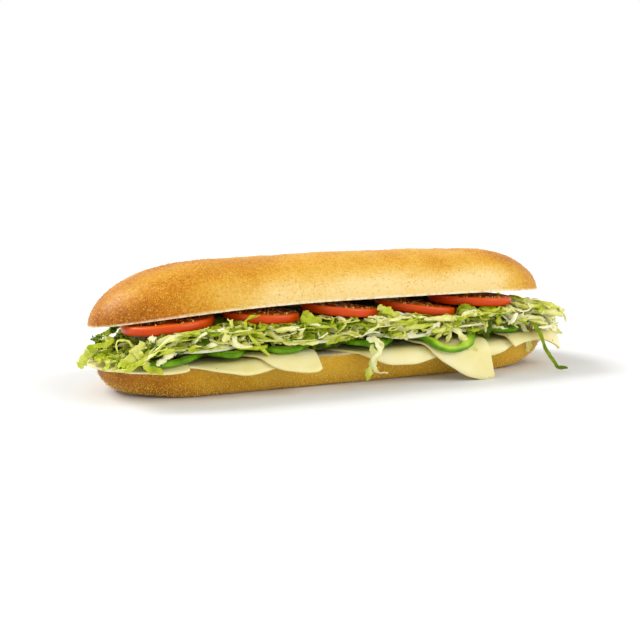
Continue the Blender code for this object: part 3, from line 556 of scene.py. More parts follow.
finish_material(pepper, both.outputs["Result"], grain, 0.12, 0.3 * MM)


def ring_strip(arc, wall, height, lobes, lift, stations=90, corners=16):
    """A rounded box, |cos|^0.6 by |sin|^0.6, carried along an arc in plan and draped."""
    x, y, radius_x, radius_y, first, last, sag = arc
    share = np.linspace(0, 1, stations)[:, None]
    angle = np.radians(first + (last - first) * share)
    ripple = 1 + lobes * np.cos(3 * angle + x / 9)
    around = np.linspace(0, 2 * np.pi, corners, endpoint=False)[None, :]
    thin = 0.55 + 0.45 * np.minimum(1, 6 * np.minimum(share, 1 - share))
    close = np.minimum(1, np.sqrt(np.minimum(share, 1 - share) * stations / 2.5 + 1e-9))
    inward = 0.5 + 0.5 * close * np.sign(np.cos(around)) * np.abs(np.cos(around)) ** 0.6
    level = 0.5 + 0.5 * close * np.sign(np.sin(around)) * np.abs(np.sin(around)) ** 0.6
    inset = wall * inward * thin
    flat_x = x * MM + (radius_x * MM * ripple - inset) * np.cos(angle)
    flat_y = y * MM + (radius_y * MM * ripple - inset) * np.sin(angle)
    return drape(flat_x, flat_y, lift + level * height, sag), inward + 0 * share


# Centre x, y, radii, first and last angle and sag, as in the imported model.
PEPPER_ARCS = ((-113, -19, 22, 26, -172, -25, 0.4), (-80, -20, 14, 24, -150, -30, 0.3),
               (-45, -16, 21, 29, -172, -6, 0.4), (12, -18, 18, 27, -168, -10, 0.5),
               (62, -18, 26, 33, -176, -2, 0.75), (108, -15, 17.5, 25, -176, -20, 0.3),
               (-104, 15, 28, 26, 8, 172, 0.4), (-40, 15, 27, 28, 6, 176, 0.6),
               (22, 15, 29, 27, 4, 170, 0.4), (86, 15, 27, 26, 10, 174, 0.5))
for number, arc in enumerate(PEPPER_ARCS, 1):
    points = settle(lambda lift: ring_strip(arc, 4.2 * MM, 3.4 * MM, 0.04, lift)[0], f"pepper_{number}")
    inward = ring_strip(arc, 4.2 * MM, 3.4 * MM, 0.04, 0.0)[1]
    make_piece(f"pepper_strip_{number}", points, quads(*points.shape[:2]), pepper, "pepper",
               [f"pepper_{number}"], weld=WELD, skin=smooth(0.34, 0.16, inward))

# %% [markdown]
# ## Onion
# Thin rings of white onion, wet and half clear, with fine lines along them. They are the same kind of
# strip as the pepper, thinner, with a lower roughness and more light inside.

# %% Onion
onion, tree, place = start_material(
    "white_onion", {"IOR": 1.38, "Roughness": 0.18, "Coat Weight": 0.3, "Subsurface Weight": 0.35,
                    "Subsurface Radius": (1.0, 1.0, 0.8), "Subsurface Scale": 0.003}
)
veins = add(tree, "TexNoise", {"Scale": 120, "Detail": 3}, {"Vector": place})
colour = add(tree, "ValToRGB", links={"Fac": veins},
             stops=[(0.3, "#DCE4AE"), (0.5, "#F1F3CC"), (0.75, "#FCFBE2")])
finish_material(onion, colour.outputs[0])

ONION_ARCS = ((-90, -6, 42, 36, -128, -58, 0.2), (-28, -8, 42, 35, -126, -56, 0.2),
              (32, -6, 42, 38, -126, -58, 0.3), (74, -8, 40, 34, -112, -56, 0.2),
              (106, -6, 34, 33, -122, -60, 0.2), (-70, 8, 42, 34, 54, 126, 0.3),
              (0, 6, 42, 35, 54, 126, 0.3), (66, 8, 42, 34, 54, 126, 0.3))
for number, arc in enumerate(ONION_ARCS, 1):
    points = settle(lambda lift: ring_strip(arc, 1.8 * MM, 2.2 * MM, 0, lift, 60, 12)[0], f"onion_{number}")
    make_piece(f"onion_strip_{number}", points, quads(*points.shape[:2]), onion, "onion",
               [f"onion_{number}"], weld=WELD)

# %% [markdown]
# ## Tomato
# Slices 5 mm thick across a ripe tomato: glossy orange-red skin round the edge, a firm wall, and wet
# chambers with pale seeds. A slice is a profile turned about its middle. The half slices at the back
# use the same profile on the outline of a half disc.

# %% Tomato
tomato, tree, place = start_material(
    "ripe_tomato", {"IOR": 1.4, "Roughness": 0.34, "Specular IOR Level": 0.3, "Coat Weight": 0.12,
                    "Coat Roughness": 0.1, "Subsurface Weight": 0.08,
                    "Subsurface Radius": (1.0, 0.2, 0.08), "Subsurface Scale": 0.003}
)
zone = add(tree, "Attribute", attribute_name="zone").outputs["Fac"]
mottle = add(tree, "TexNoise", {"Scale": 220, "Detail": 3}, {"Vector": place})
shift = add(tree, "Math", {1: 0.3, 2: -0.15}, {0: mottle}, operation="MULTIPLY_ADD")
level = add(tree, "Math", links={0: zone, 1: shift}, use_clamp=True)
colour = add(tree, "ValToRGB", links={"Fac": level},
             stops=[(0.0, "#C63A00"), (0.3, "#D64C02"), (0.55, "#E0701A"),
                    (0.8, "#BE4404"), (1.0, "#A03400")])
finish_material(tomato, colour.outputs[0], mottle, 0.15, 0.4 * MM)

TOMATO_HALF = 2.5 * MM
# Centre x, y, z, radius in millimetres, rise along x and y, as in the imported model.
TOMATO_SLICES = ((-110.3, -17, 41.6, 27, 0.07, -0.03), (-53.9, -20.5, 43.4, 23.2, -0.05, -0.03),
                 (-3.4, -20.5, 44.2, 24.2, -0.11, -0.04), (49.5, -19.5, 42.4, 25.5, -0.133, -0.02),
                 (90.5, -17, 44.9, 27, -0.057, -0.035), (-94, 17, 39.8, 27.5, 0.04, -0.087),
                 (-36, 17, 42.4, 28, -0.03, -0.087), (26, 17, 42.6, 28.5, 0.02, -0.087),
                 (88, 17, 42.2, 28.5, -0.03, -0.087))


def tomato_slice(x, y, z, radius, rise_x, rise_y, half):
    """A profile from the middle below, round the skin, to the middle above, scaled to the rim."""
    around = np.linspace(0, 2 * np.pi, 144, endpoint=False)[None, :]
    seat = 0.42 * radius * MM if half else 0.0
    far = radius * MM * (1 + 0.012 * np.cos(3 * around + x * 0.05))
    reach = -seat * np.sin(around) + np.sqrt(far**2 - (seat * np.cos(around)) ** 2)
    if half:
        flat = seat / np.maximum(1e-4, -np.sin(around))
        reach = np.where(np.sin(around) < 0, np.minimum(reach, flat), reach)
    edge = np.linspace(-np.pi / 2, np.pi / 2, 11)
    rim = 0.955 + 0.045 * np.cos(edge)
    share = np.concatenate([np.linspace(0, 0.93, 8), rim, np.linspace(0.93, 0, 24)])
    level = np.concatenate([np.full(8, -1.0), np.sin(edge), np.full(24, 1.0)])
    share, level = share[:, None], level[:, None]
    ring = smooth(0.2, 0.42, share) * smooth(0.8, 0.6, share) * (level > 0.99)
    chambers = (0.5 + 0.5 * np.cos(5 * around)) * ring
    dx, dy = reach * share * np.cos(around), seat + reach * share * np.sin(around)
    height = z * MM + level * TOMATO_HALF - 0.9 * MM * chambers + dx * rise_x + dy * rise_y
    zone = np.where(level > 0.97, 0.45 + 0.5 * chambers, 0.12 + 0.2 * smooth(0.2, 0.95, level))
    return np.dstack([x * MM + dx, y * MM + dy, height]), zone


seed_centres = []
for number, numbers in enumerate(TOMATO_SLICES, 1):
    points, zone = tomato_slice(*numbers, half=number > 5)
    make_piece(f"tomato_slice_{number}", points, quads(*points.shape[:2]), tomato, "tomato",
               [f"tomato_{number}"], weld=WELD, zone=zone)
    wet = points[-22:-5][:, zone[-15] > 0.5]  # upper rows over the chambers, and their wet columns
    seed_centres.append(wet.reshape(-1, 3)[draw.choice(wet.shape[0] * wet.shape[1], 60, replace=False)])

# %% [markdown]
# Tomato seeds are pale ovals 2 mm long in clear jelly. Only the front ones show, just under the bread,
# with a little seasoning beside them: crushed pepper and dried herbs, which also fell on the cheese.

# %% Seeds and seasoning
def plain_food(name, code, roughness, glow=0.0):
    """One colour with a soft mottle, for bits a pixel or two wide."""
    material, tree, place = start_material(name, {"Roughness": roughness, "Subsurface Weight": glow,
                                                  "Subsurface Scale": 0.001})
    mottle = add(tree, "TexNoise", {"Scale": 400}, {"Vector": place})
    dark = tuple(0.55 * c for c in linear(code)[:3]) + (1.0,)
    colour = add(tree, "ValToRGB", links={"Fac": mottle}, stops=[(0.35, dark), (0.6, code)])
    return finish_material(material, colour.outputs[0])


centres = np.concatenate(seed_centres) + (0, 0, 0.3 * MM)
grains, faces = scatter(centres, draw.uniform(0.5, 0.8, len(centres)) * MM, 41)
make_piece("tomato_seeds", grains, faces, plain_food("tomato_seed", "#FFDA70", 0.25, 0.3), "tomato",
           smooth_angle=180)
centres = centres + draw.normal(0, 3 * MM, (len(centres), 3)) * (1, 1, 0)
grains, faces = scatter(centres, draw.uniform(0.3, 0.6, len(centres)) * MM, 42)
make_piece("seasoning", grains, faces, plain_food("crushed_pepper", "#F4B440", 0.6), "tomato",
           smooth_angle=30)

# %% [markdown]
# ## Lettuce
# Iceberg lettuce cut into shreds 1 to 6 mm wide: crisp near-white ribs, yellow-green leaf, and darker
# green at the frilled edge. The heap fills the room between the onions below and the tomatoes above.
# That room is measured once, by rays cast up and down over a grid, and every shred then reads its
# lowest and highest height from those two maps, all at once.

# %% Room for the lettuce
MAP_X, MAP_Y = np.linspace(-170, 170, 171) * MM, np.linspace(-64, 60, 63) * MM
MID_FILLING = 35.5 * MM


def joined_tree(names):
    """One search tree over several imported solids."""
    corners, faces = [], []
    for name in names:
        mesh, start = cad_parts[name].data, len(corners)
        corners += [corner.co.copy() for corner in mesh.vertices]
        faces += [[start + i for i in face.vertices] for face in mesh.polygons]
    return BVHTree.FromPolygons(corners, faces)


def height_map(names, way, fallback):
    """Where a ray from the middle of the filling, up or down, first meets the named solids."""
    tree = joined_tree(names)
    hits = [[tree.ray_cast(Vector((x, y, MID_FILLING)), way)[0] for y in MAP_Y] for x in MAP_X]
    return np.array([[fallback if hit is None else hit.z for hit in row] for row in hits])


nodes = list(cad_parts)
above = [name for name in nodes if name.startswith("tomato") or name == "top_roll"]
below = [name for name in nodes if name not in above and name != "lettuce"]
floor_map = height_map(below, Vector((0, 0, -1)), 2 * MM)
roof_map = height_map(above, Vector((0, 0, 1)), 60 * MM)
print("room at the middle, mm:", round(floor_map[85, 32] / MM, 1), round(roof_map[85, 32] / MM, 1))


def read_map(table, x, y):
    """Bilinear reading of a height map at many points."""
    u = np.clip((x - MAP_X[0]) / (MAP_X[1] - MAP_X[0]), 0, len(MAP_X) - 1.001)
    v = np.clip((y - MAP_Y[0]) / (MAP_Y[1] - MAP_Y[0]), 0, len(MAP_Y) - 1.001)
    i, j = u.astype(int), v.astype(int)
    a, b = u - i, v - j
    near = table[i, j] * (1 - b) + table[i, j + 1] * b
    return near * (1 - a) + (table[i + 1, j] * (1 - b) + table[i + 1, j + 1] * b) * a


# %% [markdown]
# Every leafy thing shares one material. Its leaf attribute runs from 0, a white rib, to 1, the darkest
# green, and a colour ramp turns it into colour. It also carries painted light: the core of the heap is set
# to the darkest green as painted shade, with painted shade at the left end and painted light at the right
# end. A thin leaf glows when lit from behind, which a little subsurface scattering stands for.

# %% Lettuce material
lettuce, tree, place = start_material(
    "iceberg_lettuce", {"IOR": 1.38, "Roughness": 0.36, "Specular IOR Level": 0.3, "Subsurface Weight": 0.3,
                        "Subsurface Radius": (0.8, 1.0, 0.25), "Subsurface Scale": 0.002}
)
leaf = add(tree, "Attribute", attribute_name="leaf").outputs["Fac"]
veins = add(tree, "TexNoise", {"Scale": 260, "Detail": 4}, {"Vector": place})
shift = add(tree, "Math", {1: 0.4, 2: -0.2}, {0: veins}, operation="MULTIPLY_ADD")
level = add(tree, "Math", links={0: leaf, 1: shift}, use_clamp=True)
colour = add(tree, "ValToRGB", links={"Fac": level},
             stops=[(0.0, "#F6F4CC"), (0.2, "#E4E28C"), (0.42, "#BEC832"),
                    (0.6, "#90A212"), (0.8, "#547008"), (1.0, "#364804")])
finish_material(lettuce, colour.outputs[0], veins, 0.3, 0.5 * MM)

# %% [markdown]
# The imported middle of the heap is one closed surface. Its section is a rounded box between the two
# height maps, carried along the loaf, with creases deep enough to read as leaves in shadow. It is coloured
# the darkest green, painted shade for the depths between the shreds.

# %% Core of the heap
def heap_core():
    """Section by angle: y by |cos|^0.35, height between the maps by |sin|^0.5, creased by waves."""
    along = np.linspace(0, 1, 260)[:, None]
    x = (-142 + 280 * along) * MM
    narrow = 0.4 + 0.6 * np.sqrt(np.maximum(0, 1 - np.abs(2 * along - 1) ** 5))
    around = np.linspace(0, 2 * np.pi, 96, endpoint=False)[None, :]
    y = 36 * MM * narrow * np.sign(np.cos(around)) * np.abs(np.cos(around)) ** 0.35
    x = x + 0 * y
    low, high = read_map(floor_map, x, y) + 0.5 * MM, read_map(roof_map, x, y) - 0.5 * MM
    high = np.minimum(high, (44 - 22 * smooth(-104, -142, x / MM) - 18 * smooth(112, 146, x / MM)) * MM)
    low = np.minimum(low, high - 1.5 * MM)
    share = 0.5 + 0.5 * np.sign(np.sin(around)) * np.abs(np.sin(around)) ** 0.5
    points = np.dstack([x, y, low + (high - low) * share])
    crease = np.abs(waves(points, 7 * MM, 51)) * 1.6 * MM + np.abs(waves(points, 3.5 * MM, 52)) * 0.8 * MM
    points[..., 1] -= np.sign(y) * crease * smooth(0.1, 0.5, 1 - np.abs(2 * share - 1))
    ends = np.minimum(1, np.minimum(along, 1 - along) * 60)
    middle = points.mean(1, keepdims=True)
    return middle + (points - middle) * ends[..., None]


points = heap_core()
# painted shade: the core is set to the darkest green, standing for the shadow deep in the heap
leaf = 0.9 + 0.16 * waves(points, 9 * MM, 53) + 0.1 * waves(points, 4 * MM, 54)
make_piece("lettuce_core", points, quads(*points.shape[:2]), lettuce, "lettuce", ["lettuce"],
           weld=WELD, leaf=leaf)

# %% [markdown]
# A shred is a strip carried along a path. The path is drawn like a walk: each step turns a little, so
# strips bow, hook and curl. Across the strip the section is cupped, its rims are ragged and frilled,
# and it thins towards both edges. All shreds of one kind are worked out together as one array.

# %% Strips along paths
ACROSS, STEPS = 5, 26


def strips(paths, widths, twists, frill, thickness, draws, tear=1.0):
    """Points of closed strips: path + across * width * v + normal * (cup + frill) * v^2, both faces.

    At twist 0 a strip shows its face to the front. Tear is how ragged its rims are.
    """
    count = len(paths)
    s = np.linspace(0, 1, STEPS)[None, :, None]
    along = np.gradient(paths, axis=1)
    along /= np.linalg.norm(along, axis=-1, keepdims=True) + 1e-12
    level = np.cross(along, np.array([0.03, -1.0, 0.25]))
    level /= np.linalg.norm(level, axis=-1, keepdims=True) + 1e-12
    turn = (twists[:, :1] + (twists[:, 1:] - twists[:, :1]) * smooth(0, 1, s[..., 0]))[..., None]
    side = level * np.cos(turn) + np.cross(along, level) * np.sin(turn)
    normal = np.cross(along, side)
    v = np.linspace(-1, 1, ACROSS)
    v = np.concatenate([v, v[::-1]])[None, None, :]
    face = np.concatenate([np.ones(ACROSS), -np.ones(ACROSS)])[None, None, :]
    phase = draws.uniform(0, 2 * np.pi, (6, count, 1, 1))
    ragged = 0.1 * np.sin(21 * s + phase[0] + v) + 0.07 * np.sin(39 * s + phase[1] - 2 * v)
    ragged = tear * (ragged + 0.06 * np.sin(67 * s + phase[4] - v))
    taper = 0.45 + 0.55 * np.minimum(1, 9 * np.minimum(s, 1 - s)) ** 0.7
    half = widths[:, None, None] / 2 * taper * (1 + ragged * np.abs(v))
    cup = draws.uniform(-0.35, 0.35, (count, 1, 1))
    rim = frill[:, None, None] * (np.sin(19 * s + phase[2] + v) + 0.6 * np.sin(37 * s + phase[3] - v))
    off = half * (cup * v**2 + rim * np.abs(v) ** 1.5)
    off = off + face * thickness[:, None, None] / 2 * (1 - 0.7 * np.abs(v) ** 2)
    points = paths[:, :, None] + side[:, :, None] * (half * v)[..., None]
    points = points + normal[:, :, None] * off[..., None]
    ring = 2 * ACROSS
    one = quads(STEPS, ring)
    j = np.arange(ACROSS - 1)
    cap = np.stack([j, j + 1, ring - 2 - j, ring - 1 - j], -1)
    one = np.concatenate([one, cap[:, ::-1], cap + (STEPS - 1) * ring])
    faces = one[None] + (np.arange(count) * STEPS * ring)[:, None, None]
    return points, faces.reshape(-1, 4), s + 0 * points[..., 0], v + 0 * points[..., 0]


def walk(start, yaw, yaw_turn, pitch, pitch_turn, length, curl, draws):
    """Paths by adding up steps. Heading and slope change evenly, and a curl winds round both."""
    s = np.linspace(0, 1, STEPS)[None, :]
    wind = 2 * np.pi * (draws.uniform(0.6, 1.8, (len(start), 1)) * s + draws.random((len(start), 1)))
    heading = yaw[:, None] + yaw_turn[:, None] * s + curl[:, None] * np.sin(wind)
    slope = pitch[:, None] + pitch_turn[:, None] * s + 0.8 * curl[:, None] * np.cos(wind)
    step = np.stack([np.cos(heading) * np.cos(slope), np.sin(heading) * np.cos(slope), np.sin(slope)], -1)
    moved = np.cumsum(step * (length / (STEPS - 1))[:, None, None], axis=1)
    return start[:, None] + moved - moved[:, :1]


def bend_in(value, low, high, give):
    """Leaves value alone between low and high, and lets it pass either by less than give."""
    value = np.where(value < low, low - give * np.tanh((low - value) / give), value)
    return np.where(value > high, high + give * np.tanh((value - high) / give), value)


# How far the heap reaches in plan, and by how much more a shred may stick out.
FRONT_EDGE, BACK_EDGE, LEFT_EDGE, RIGHT_EDGE, STICK_OUT = np.array([-39, 38, -147, 139, 12]) * MM
HEAP_TOP = 45


def keep_in(paths, room, drop):
    """Bends paths into reach of the heap in plan, and squeezes them between the maps in height.

    In front of the loaf the heap's edge sets the limits, a shelf keeps it off the onions and peppers,
    and drop lets a path fall below the shelf. Height = middle + half room * tanh(height / half room).
    """
    x, y, z = np.moveaxis(paths, -1, 0)
    y = bend_in(y, FRONT_EDGE, BACK_EDGE, STICK_OUT)
    x = bend_in(x, LEFT_EDGE + 0.35 * np.maximum(y, 0), RIGHT_EDGE, STICK_OUT)
    edge = np.clip(y, -35 * MM, 35 * MM)
    shelf = (20 + 10 * smooth(22, 32, np.abs(y) / MM) * smooth(150, 118, np.abs(x) / MM)) * MM
    fall = drop[:, None] * smooth(140, 115, np.abs(x) / MM)
    low = np.maximum(read_map(floor_map, x, edge), shelf) - fall
    low = np.maximum(read_map(floor_map, x, y), low) + room[:, None]
    roof = np.minimum(read_map(roof_map, x, y), read_map(roof_map, x, edge) + 1.5 * MM)
    cap = HEAP_TOP - 17 * smooth(-112, -140, x / MM) - 8 * smooth(134, 156, x / MM)
    cap = cap - 0.35 * np.maximum(0, np.abs(y) / MM - 39)
    half = np.maximum(np.minimum(roof, cap * MM) - room[:, None] - low, 0.6 * MM) / 2
    return np.stack([x, y, low + half + half * np.tanh((z - low - half) / half)], -1)


# %% [markdown]
# Shreds are drawn in four groups: tangled ones that bow out of the front and turn back in, spilling
# ones that droop over the edge, and sprays at both ends. The back has the same kinds, fewer. A kind is
# a range of green, a width and a frill, and each kind becomes one piece.

# %% Shreds by kind
def tangle(draws, count, scale, shares):
    """Starts, headings and slopes for a kind's share of each group."""

    def span(low, high):
        return draws.uniform(low, high, count)

    group = draws.choice(4, count, p=shares)
    side = np.where(draws.random(count) < 0.74, -1.0, 1.0)
    side[group >= 2] = -1.0
    x = span(-138, 134) * MM
    x = np.where(group == 2, span(124, 144) * MM, x)
    x = np.where(group == 3, span(-144, -124) * MM, x)
    across = span(-30, 24) * MM
    y = np.where(group >= 2, across * 1.2, side * span(30, 38) * MM)
    low, high = read_map(floor_map, x, y), np.minimum(read_map(roof_map, x, y), 44 * MM)
    z = np.maximum(low, 31 * MM) + (high - np.maximum(low, 31 * MM)) * span(0.05, 0.95)
    z = np.where(group == 3, span(23, 33) * MM, z)
    z = np.where(group == 2, span(28, 42) * MM, z)
    turn_way = draws.choice([-1.0, 1.0], count)
    outward = side * np.pi / 2
    yaw = outward - turn_way * np.radians(span(25, 80))
    yaw_turn = turn_way * np.radians(span(70, 230))
    yaw = np.where(group == 1, outward + np.radians(span(-40, 40)), yaw)
    yaw_turn = np.where(group == 1, np.radians(span(-70, 70)), yaw_turn)
    ends = np.radians(np.where(group == 2, 0.0, 180.0)) + np.radians(span(-55, 55))
    yaw = np.where(group >= 2, ends, yaw)
    yaw_turn = np.where(group >= 2, np.radians(span(-90, 90)), yaw_turn)
    pitch = np.radians(span(-30, 30)) * (2.4 - 1.4 * scale)
    pitch_turn = np.radians(span(-50, 30))
    pitch_turn = np.where(group == 1, np.radians(span(-110, -40)), pitch_turn)
    pitch_turn = np.where(group >= 2, np.radians(span(-80, 10)), pitch_turn)
    length = span(22, 56) * MM
    length = np.where(group == 1, span(14, 24) * MM, length)
    length = np.where(group >= 2, span(16, 32) * MM, length) * scale
    drop = np.where(group == 1, span(2, 10), span(-3, 2.5)) * MM
    drop = np.where(group >= 2, span(-2, 3) * MM, drop)
    curl = span(0, 1) ** 1.5 * 1.1
    return walk(np.stack([x, y, z], -1), yaw, yaw_turn, pitch, pitch_turn, length, curl, draws), drop


# Kind: how many, leaf from and to, width in mm, frill, thickness in mm, share of the full length,
# and the shares that tangle, spill, and spray to the right and to the left.
SHRED_KINDS = {
    "pale_ribs": (210, 0.02, 0.22, (1.3, 3.2), 0.1, 0.7, 0.8, (0.6, 0.08, 0.24, 0.08)),
    "yellow_green_shreds": (260, 0.24, 0.5, (1.6, 4.2), 0.3, 0.4, 0.9, (0.68, 0.08, 0.14, 0.1)),
    "green_shreds": (110, 0.5, 0.72, (2.0, 5.0), 0.45, 0.4, 0.7, (0.72, 0.08, 0.08, 0.12)),
    "dark_shreds": (44, 0.76, 0.92, (3.0, 5.5), 0.5, 0.4, 0.5, (0.86, 0.04, 0.04, 0.06)),
    "leaf_frills": (170, 0.15, 0.62, (1.0, 2.6), 0.6, 0.35, 0.45, (0.72, 0.06, 0.12, 0.1)),
}
for kind_seed, (kind, numbers) in enumerate(SHRED_KINDS.items()):
    count, leaf_low, leaf_high, width, frill, thick, scale, shares = numbers
    draws = np.random.default_rng(60 + kind_seed)
    widths = draws.uniform(*width, count) * MM
    paths, drop = tangle(draws, count, scale, shares)
    paths = keep_in(paths, 0.35 * widths + 0.4 * MM, drop)
    twists = np.radians(np.stack([draws.uniform(-60, 60, count), draws.uniform(-150, 150, count)], -1))
    points, faces, s, v = strips(paths, widths, twists, frill * draws.uniform(0.5, 1.3, count),
                                 np.full(count, thick * MM), draws)
    leaf = draws.uniform(leaf_low, leaf_high, (count, 1, 1)) + 0.12 * (np.abs(v) - 0.5)
    leaf = leaf + draws.uniform(-0.3, 0.3, (count, 1, 1)) * (s - 0.5)
    # painted shade at the left end and painted light at the right: shreds are set darker green at the left
    # and paler at the right
    x_mm = points[..., 0] / MM  # the left end is greener than the right one
    leaf = leaf + 0.1 * smooth(-70, -120, x_mm) - 0.12 * smooth(40, 110, x_mm)
    make_piece(kind, points, faces, lettuce, "lettuce", leaf=leaf, smooth_angle=70)

# %% [markdown]
# Some shreds stand out in the real heap: pale curls that hang down the middle of the front, a dark one
# that trails from the right end to the table, and hooks and ribbons all along. Each follows a smooth
# curve through a few points that were read off the real thing.

# %% Shreds that stand out
def curve_through(points, count):
    """Catmull-Rom: 0.5 (2b + (c - a) t + (2a - 5b + 4c - d) t^2 + (3b - a - 3c + d) t^3)."""
    p = np.asarray(points, float)
    p = np.concatenate([[2 * p[0] - p[1]], p, [2 * p[-1] - p[-2]]])
    at = np.linspace(0, len(p) - 3 - 1e-9, count)
    i, t = at.astype(int), (at % 1)[:, None]
    a, b, c, d = p[i], p[i + 1], p[i + 2], p[i + 3]
    square, cube = 2 * a - 5 * b + 4 * c - d, 3 * b - a - 3 * c + d
    return 0.5 * (2 * b + (c - a) * t + square * t**2 + cube * t**3)


# Depth y of the root, x and z of each point in mm, width, first and last twist in degrees, leaf at
# the root and at the tip.
STANDING_OUT = (
    (-43, (-55.5, 22.5, -64, 29.5, -70, 37, -73, 43.5, -70, 47, -64, 48), 2.2, -20, 60, 0.4, 0.55),
    (-42, (-86.5, 29.5, -85.5, 37, -80, 43, -83, 47), 4, 10, 50, 0.15, 0.35),
    (-40, (-129.5, 35.5, -135, 32, -140.5, 26.5, -145.5, 23.5), 5.5, -10, 30, 0.22, 0.42),
    (-42, (-136, 34, -133.5, 28.5, -129.5, 22.5, -121, 19), 4.5, 10, -30, 0.28, 0.5),
    (-45, (-112, 30.5, -117.5, 29.5, -121.5, 27, -125.5, 24.5), 3.2, 0, 30, 0.04, 0.12),
    (-36, (-134, 31.5, -139.5, 37.5, -145, 37, -144.5, 31), 1.4, 0, 90, 0.3, 0.4),
    (-22, (-142.5, 35.5, -149.5, 33, -156.5, 33, -156, 29.5), 3, 0, 50, 0.42, 0.6),
    (-16, (-150.5, 28.5, -157.5, 27.5, -160.5, 23.5, -162.5, 20.5), 5, -20, 30, 0.3, 0.42),
    (-41, (-47, 38.5, -42, 35, -35, 32, -29.5, 34), 5.5, 0, 30, 0.72, 0.6),
    (-41, (-35, 47.5, -30.5, 43.5, -24, 37.5, -19.5, 33), 4.6, 50, -40, 0.4, 0.56),
    (-42, (-103.5, 38.5, -111.5, 37, -117.5, 33.5, -122.5, 29.5), 2.6, 0, 40, 0.12, 0.2),
    (-40, (-106.5, 31, -99, 36.5, -91, 40.5), 3, 20, -20, 0.3, 0.36),
    (-39, (-126.5, 38.5, -124, 37, -121, 35), 4.2, 0, 20, 0.06, 0.12),
    (-42, (-37, 44.5, -31.5, 42, -25.5, 37, -22, 32.5), 6, -10, 20, 0.46, 0.56),
    (-40, (-35, 36, -30.5, 32, -36.5, 29.5), 5, 0, 30, 0.78, 0.66),
    (-41, (13, 47, 17.5, 45.5, 23, 42, 24.5, 37.5), 4.5, 10, -20, 0.35, 0.5),
    (-43, (5.5, 41.5, 11, 40.5, 19.5, 38.5, 26.5, 33.5, 25, 28), 4.5, 0, 60, 0.1, 0.2),
    (-41, (30, 39, 34.5, 42, 41.5, 39.5, 44.5, 35.5), 2.6, 20, 70, 0.3, 0.4),
    (-46, (60.5, 36.5, 63, 31, 70.5, 22.5, 78, 14.5), 4.2, 0, 30, 0.14, 0.24),
    (-44, (43.5, 27.5, 46, 33, 52, 36.5), 3.2, 0, 20, 0.04, 0.1),
    (-44, (49.5, 22.5, 52, 30, 56.5, 34, 59, 28.5, 56, 23.5), 2.6, 0, 50, 0.2, 0.3),
    (-39, (85.5, 41.5, 88, 36, 89, 29.5, 86.5, 23), 4.4, 0, 40, 0.82, 0.9),
    (-39, (69, 41.5, 73.5, 43.5, 80, 40, 85, 33.5), 4.6, 0, -30, 0.6, 0.7),
    (-34, (101.5, 40.5, 106, 35.5, 115.5, 31, 121.5, 34), 4.6, 0, 40, 0.08, 0.2),
    (-22, (120, 44.5, 128.5, 41, 142.5, 37.5, 157.5, 31), 3.6, -20, 30, 0.36, 0.46),
    (-19, (128.5, 38.5, 137.5, 33.5, 149, 33.5, 159, 30), 3, 30, 70, 0.3, 0.36),
    (-24, (133, 27, 137.5, 24.5, 146, 23, 155, 19), 3.4, 0, 50, 0.06, 0.14),
    (-33, (116.5, 32.5, 119.5, 26.5, 123, 18.5, 123, 11), 3.6, 0, 30, 0.12, 0.22),
    (-26, (132, 33.5, 136.5, 28, 139, 21.5, 135.5, 15), 4.6, 0, -40, 0.06, 0.14),
    (-18, (131.5, 36.5, 137, 29.5, 148.5, 26, 154, 21.5), 4, 20, -30, 0.16, 0.3),
    (-43, (39, 35.5, 33.5, 30.5, 28, 28), 3.6, 0, 30, 0.04, 0.1),
    (-48, (2.5, 30, 7.5, 29, 10.5, 25, 7, 21), 3.4, 0, 60, 0.06, 0.12),
    (-50, (5, 26.5, 5.5, 19.5, 2, 13.5, 0, 6), 4.4, 0, 70, 0.12, 0.42),
    (-52, (6.5, 28, 7.5, 23.5, 3, 17.5, 6.5, 11, 13, 10), 2.6, 0, 80, 0.05, 0.14),
)
# The one that trails down to the table: its points, then the same numbers.
TRAILING = (((112, -28, 36), (117, -39, 36), (122, -47, 29), (126, -51, 17), (129.5, -53.5, 9.5),
             (132.5, -57, 4.2), (138, -59.5, 3.4)), 2.4, 60, 10, 0.5, 0.85)


def from_depth(depth, flat):
    """Points from pairs of x and z: the root at the depth, the rest 4 mm in front of it."""
    x, z = np.reshape(flat, (-1, 2)).T
    return np.stack([x, depth - 4.0 * (np.arange(len(x)) > 0), z], -1)


curves = [from_depth(*row[:2]) for row in STANDING_OUT] + [TRAILING[0]]
paths = np.stack([curve_through(curve, STEPS) for curve in curves]) * MM
numbers = np.array([row[2:] for row in STANDING_OUT] + [TRAILING[1:]], float)
count = len(paths)
points, faces, s, v = strips(paths, numbers[:, 0] * MM, np.radians(numbers[:, 1:3]), np.full(count, 0.4),
                             np.full(count, 0.5 * MM), np.random.default_rng(71), tear=1.8)
points[..., 2] = np.maximum(points[..., 2], 0.3 * MM)
leaf = numbers[:, 3, None, None] + (numbers[:, 4] - numbers[:, 3])[:, None, None] * s
make_piece("standing_out_shreds", points, faces, lettuce, "lettuce", leaf=leaf, smooth_angle=70)

# %% [markdown]
# ## Studio
# The photo is high key: a white ground and soft light from all round. A key light at the right of the
# front, a stronger one high at the back and a weak one at the left model the crust.

# %% Floor and light
material = start_material("white_ground", {"Base Color": (0.8, 0.8, 0.8, 1), "Roughness": 0.9,
                                           "Specular IOR Level": 0.1})[0]
mesh = bpy.data.meshes.new("ground")
mesh.from_pydata([(-4, -4, 0), (4, -4, 0), (4, 4, 0), (-4, 4, 0)], [], [(0, 1, 2, 3)])
mesh.materials.append(material)
ground = bpy.data.objects.new("ground", mesh)
bpy.context.scene.collection.objects.link(ground)


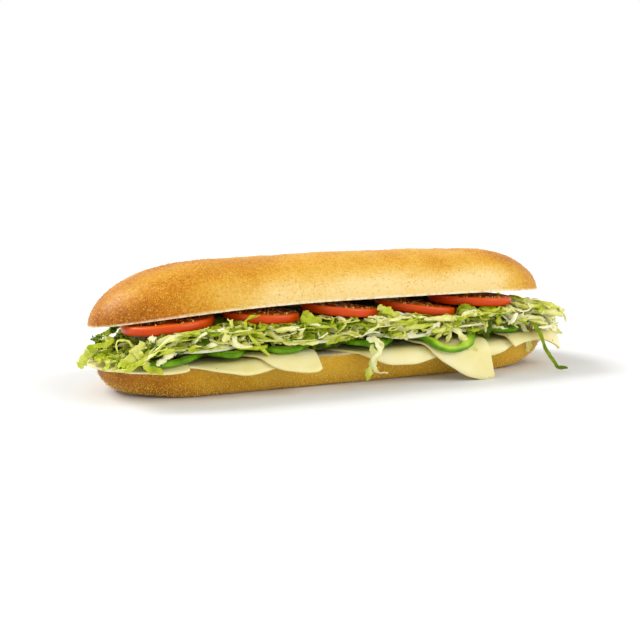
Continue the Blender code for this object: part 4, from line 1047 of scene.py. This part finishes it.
def far_light(name, way, spread, strength, colour=(1, 1, 1)):
    """A wide light far off in the direction way. Spread is how wide it looks, in degrees."""
    light = bpy.data.lights.new(name, "SUN")
    light.angle, light.energy, light.color = math.radians(spread), strength, colour
    lamp = bpy.data.objects.new(name, light)
    lamp.rotation_euler = (-Vector(way)).to_track_quat("-Z", "Y").to_euler()
    bpy.context.scene.collection.objects.link(lamp)


far_light("key", (0.8, -0.75, 0.8), 42, 1.2, (1, 0.98, 0.95))
far_light("top", (-0.62, 0.5, 0.76), 28, 2.2)
far_light("left", (-0.8, -0.1, 0.65), 30, 0.4)
# The studio's walls are white and its ceiling is dimmer: strength 1 at the horizon, 0.5 overhead.
world = bpy.data.worlds.new("studio")
world.use_nodes = True
tree = world.node_tree
way = add(tree, "TexCoord").outputs["Generated"]
height = add(tree, "SeparateXYZ", links={"Vector": way}).outputs["Z"]
strength = add(tree, "MapRange", {"From Min": 0.2, "From Max": 0.9, "To Min": 1.0, "To Max": 0.5},
               {"Value": height})
tree.links.new(strength.outputs["Result"], tree.nodes["Background"].inputs["Strength"])
tree.nodes["Background"].inputs["Color"].default_value = (1, 1, 1, 1)
bpy.context.scene.world = world
bpy.context.scene.view_settings.view_transform = "Standard"

# %% [markdown]
# The camera looks from the left of the front, a hand's breadth above the table, through a lens whose
# focal length was worked out in pixels of the square picture.

# %% Camera
AZIMUTH, ELEVATION, DISTANCE = math.radians(-22.831), math.radians(9.559), 0.709527
AIM = Vector((-7.18, 0, 34.354)) * MM
SENSOR_WIDTH, FOCAL_PIXELS, PICTURE_PIXELS = 36, 1130, 640  # the first in mm
level = math.cos(ELEVATION)
back = Vector((math.sin(AZIMUTH) * level, -math.cos(AZIMUTH) * level, math.sin(ELEVATION)))
camera = bpy.data.objects.new("camera", bpy.data.cameras.new("camera"))
camera.data.sensor_width = SENSOR_WIDTH
camera.data.lens = FOCAL_PIXELS / PICTURE_PIXELS * SENSOR_WIDTH
camera.data.clip_start = 0.01
camera.location = AIM + back * DISTANCE
camera.rotation_euler = (-back).to_track_quat("-Z", "Y").to_euler()
bpy.context.scene.collection.objects.link(camera)
bpy.context.scene.camera = camera
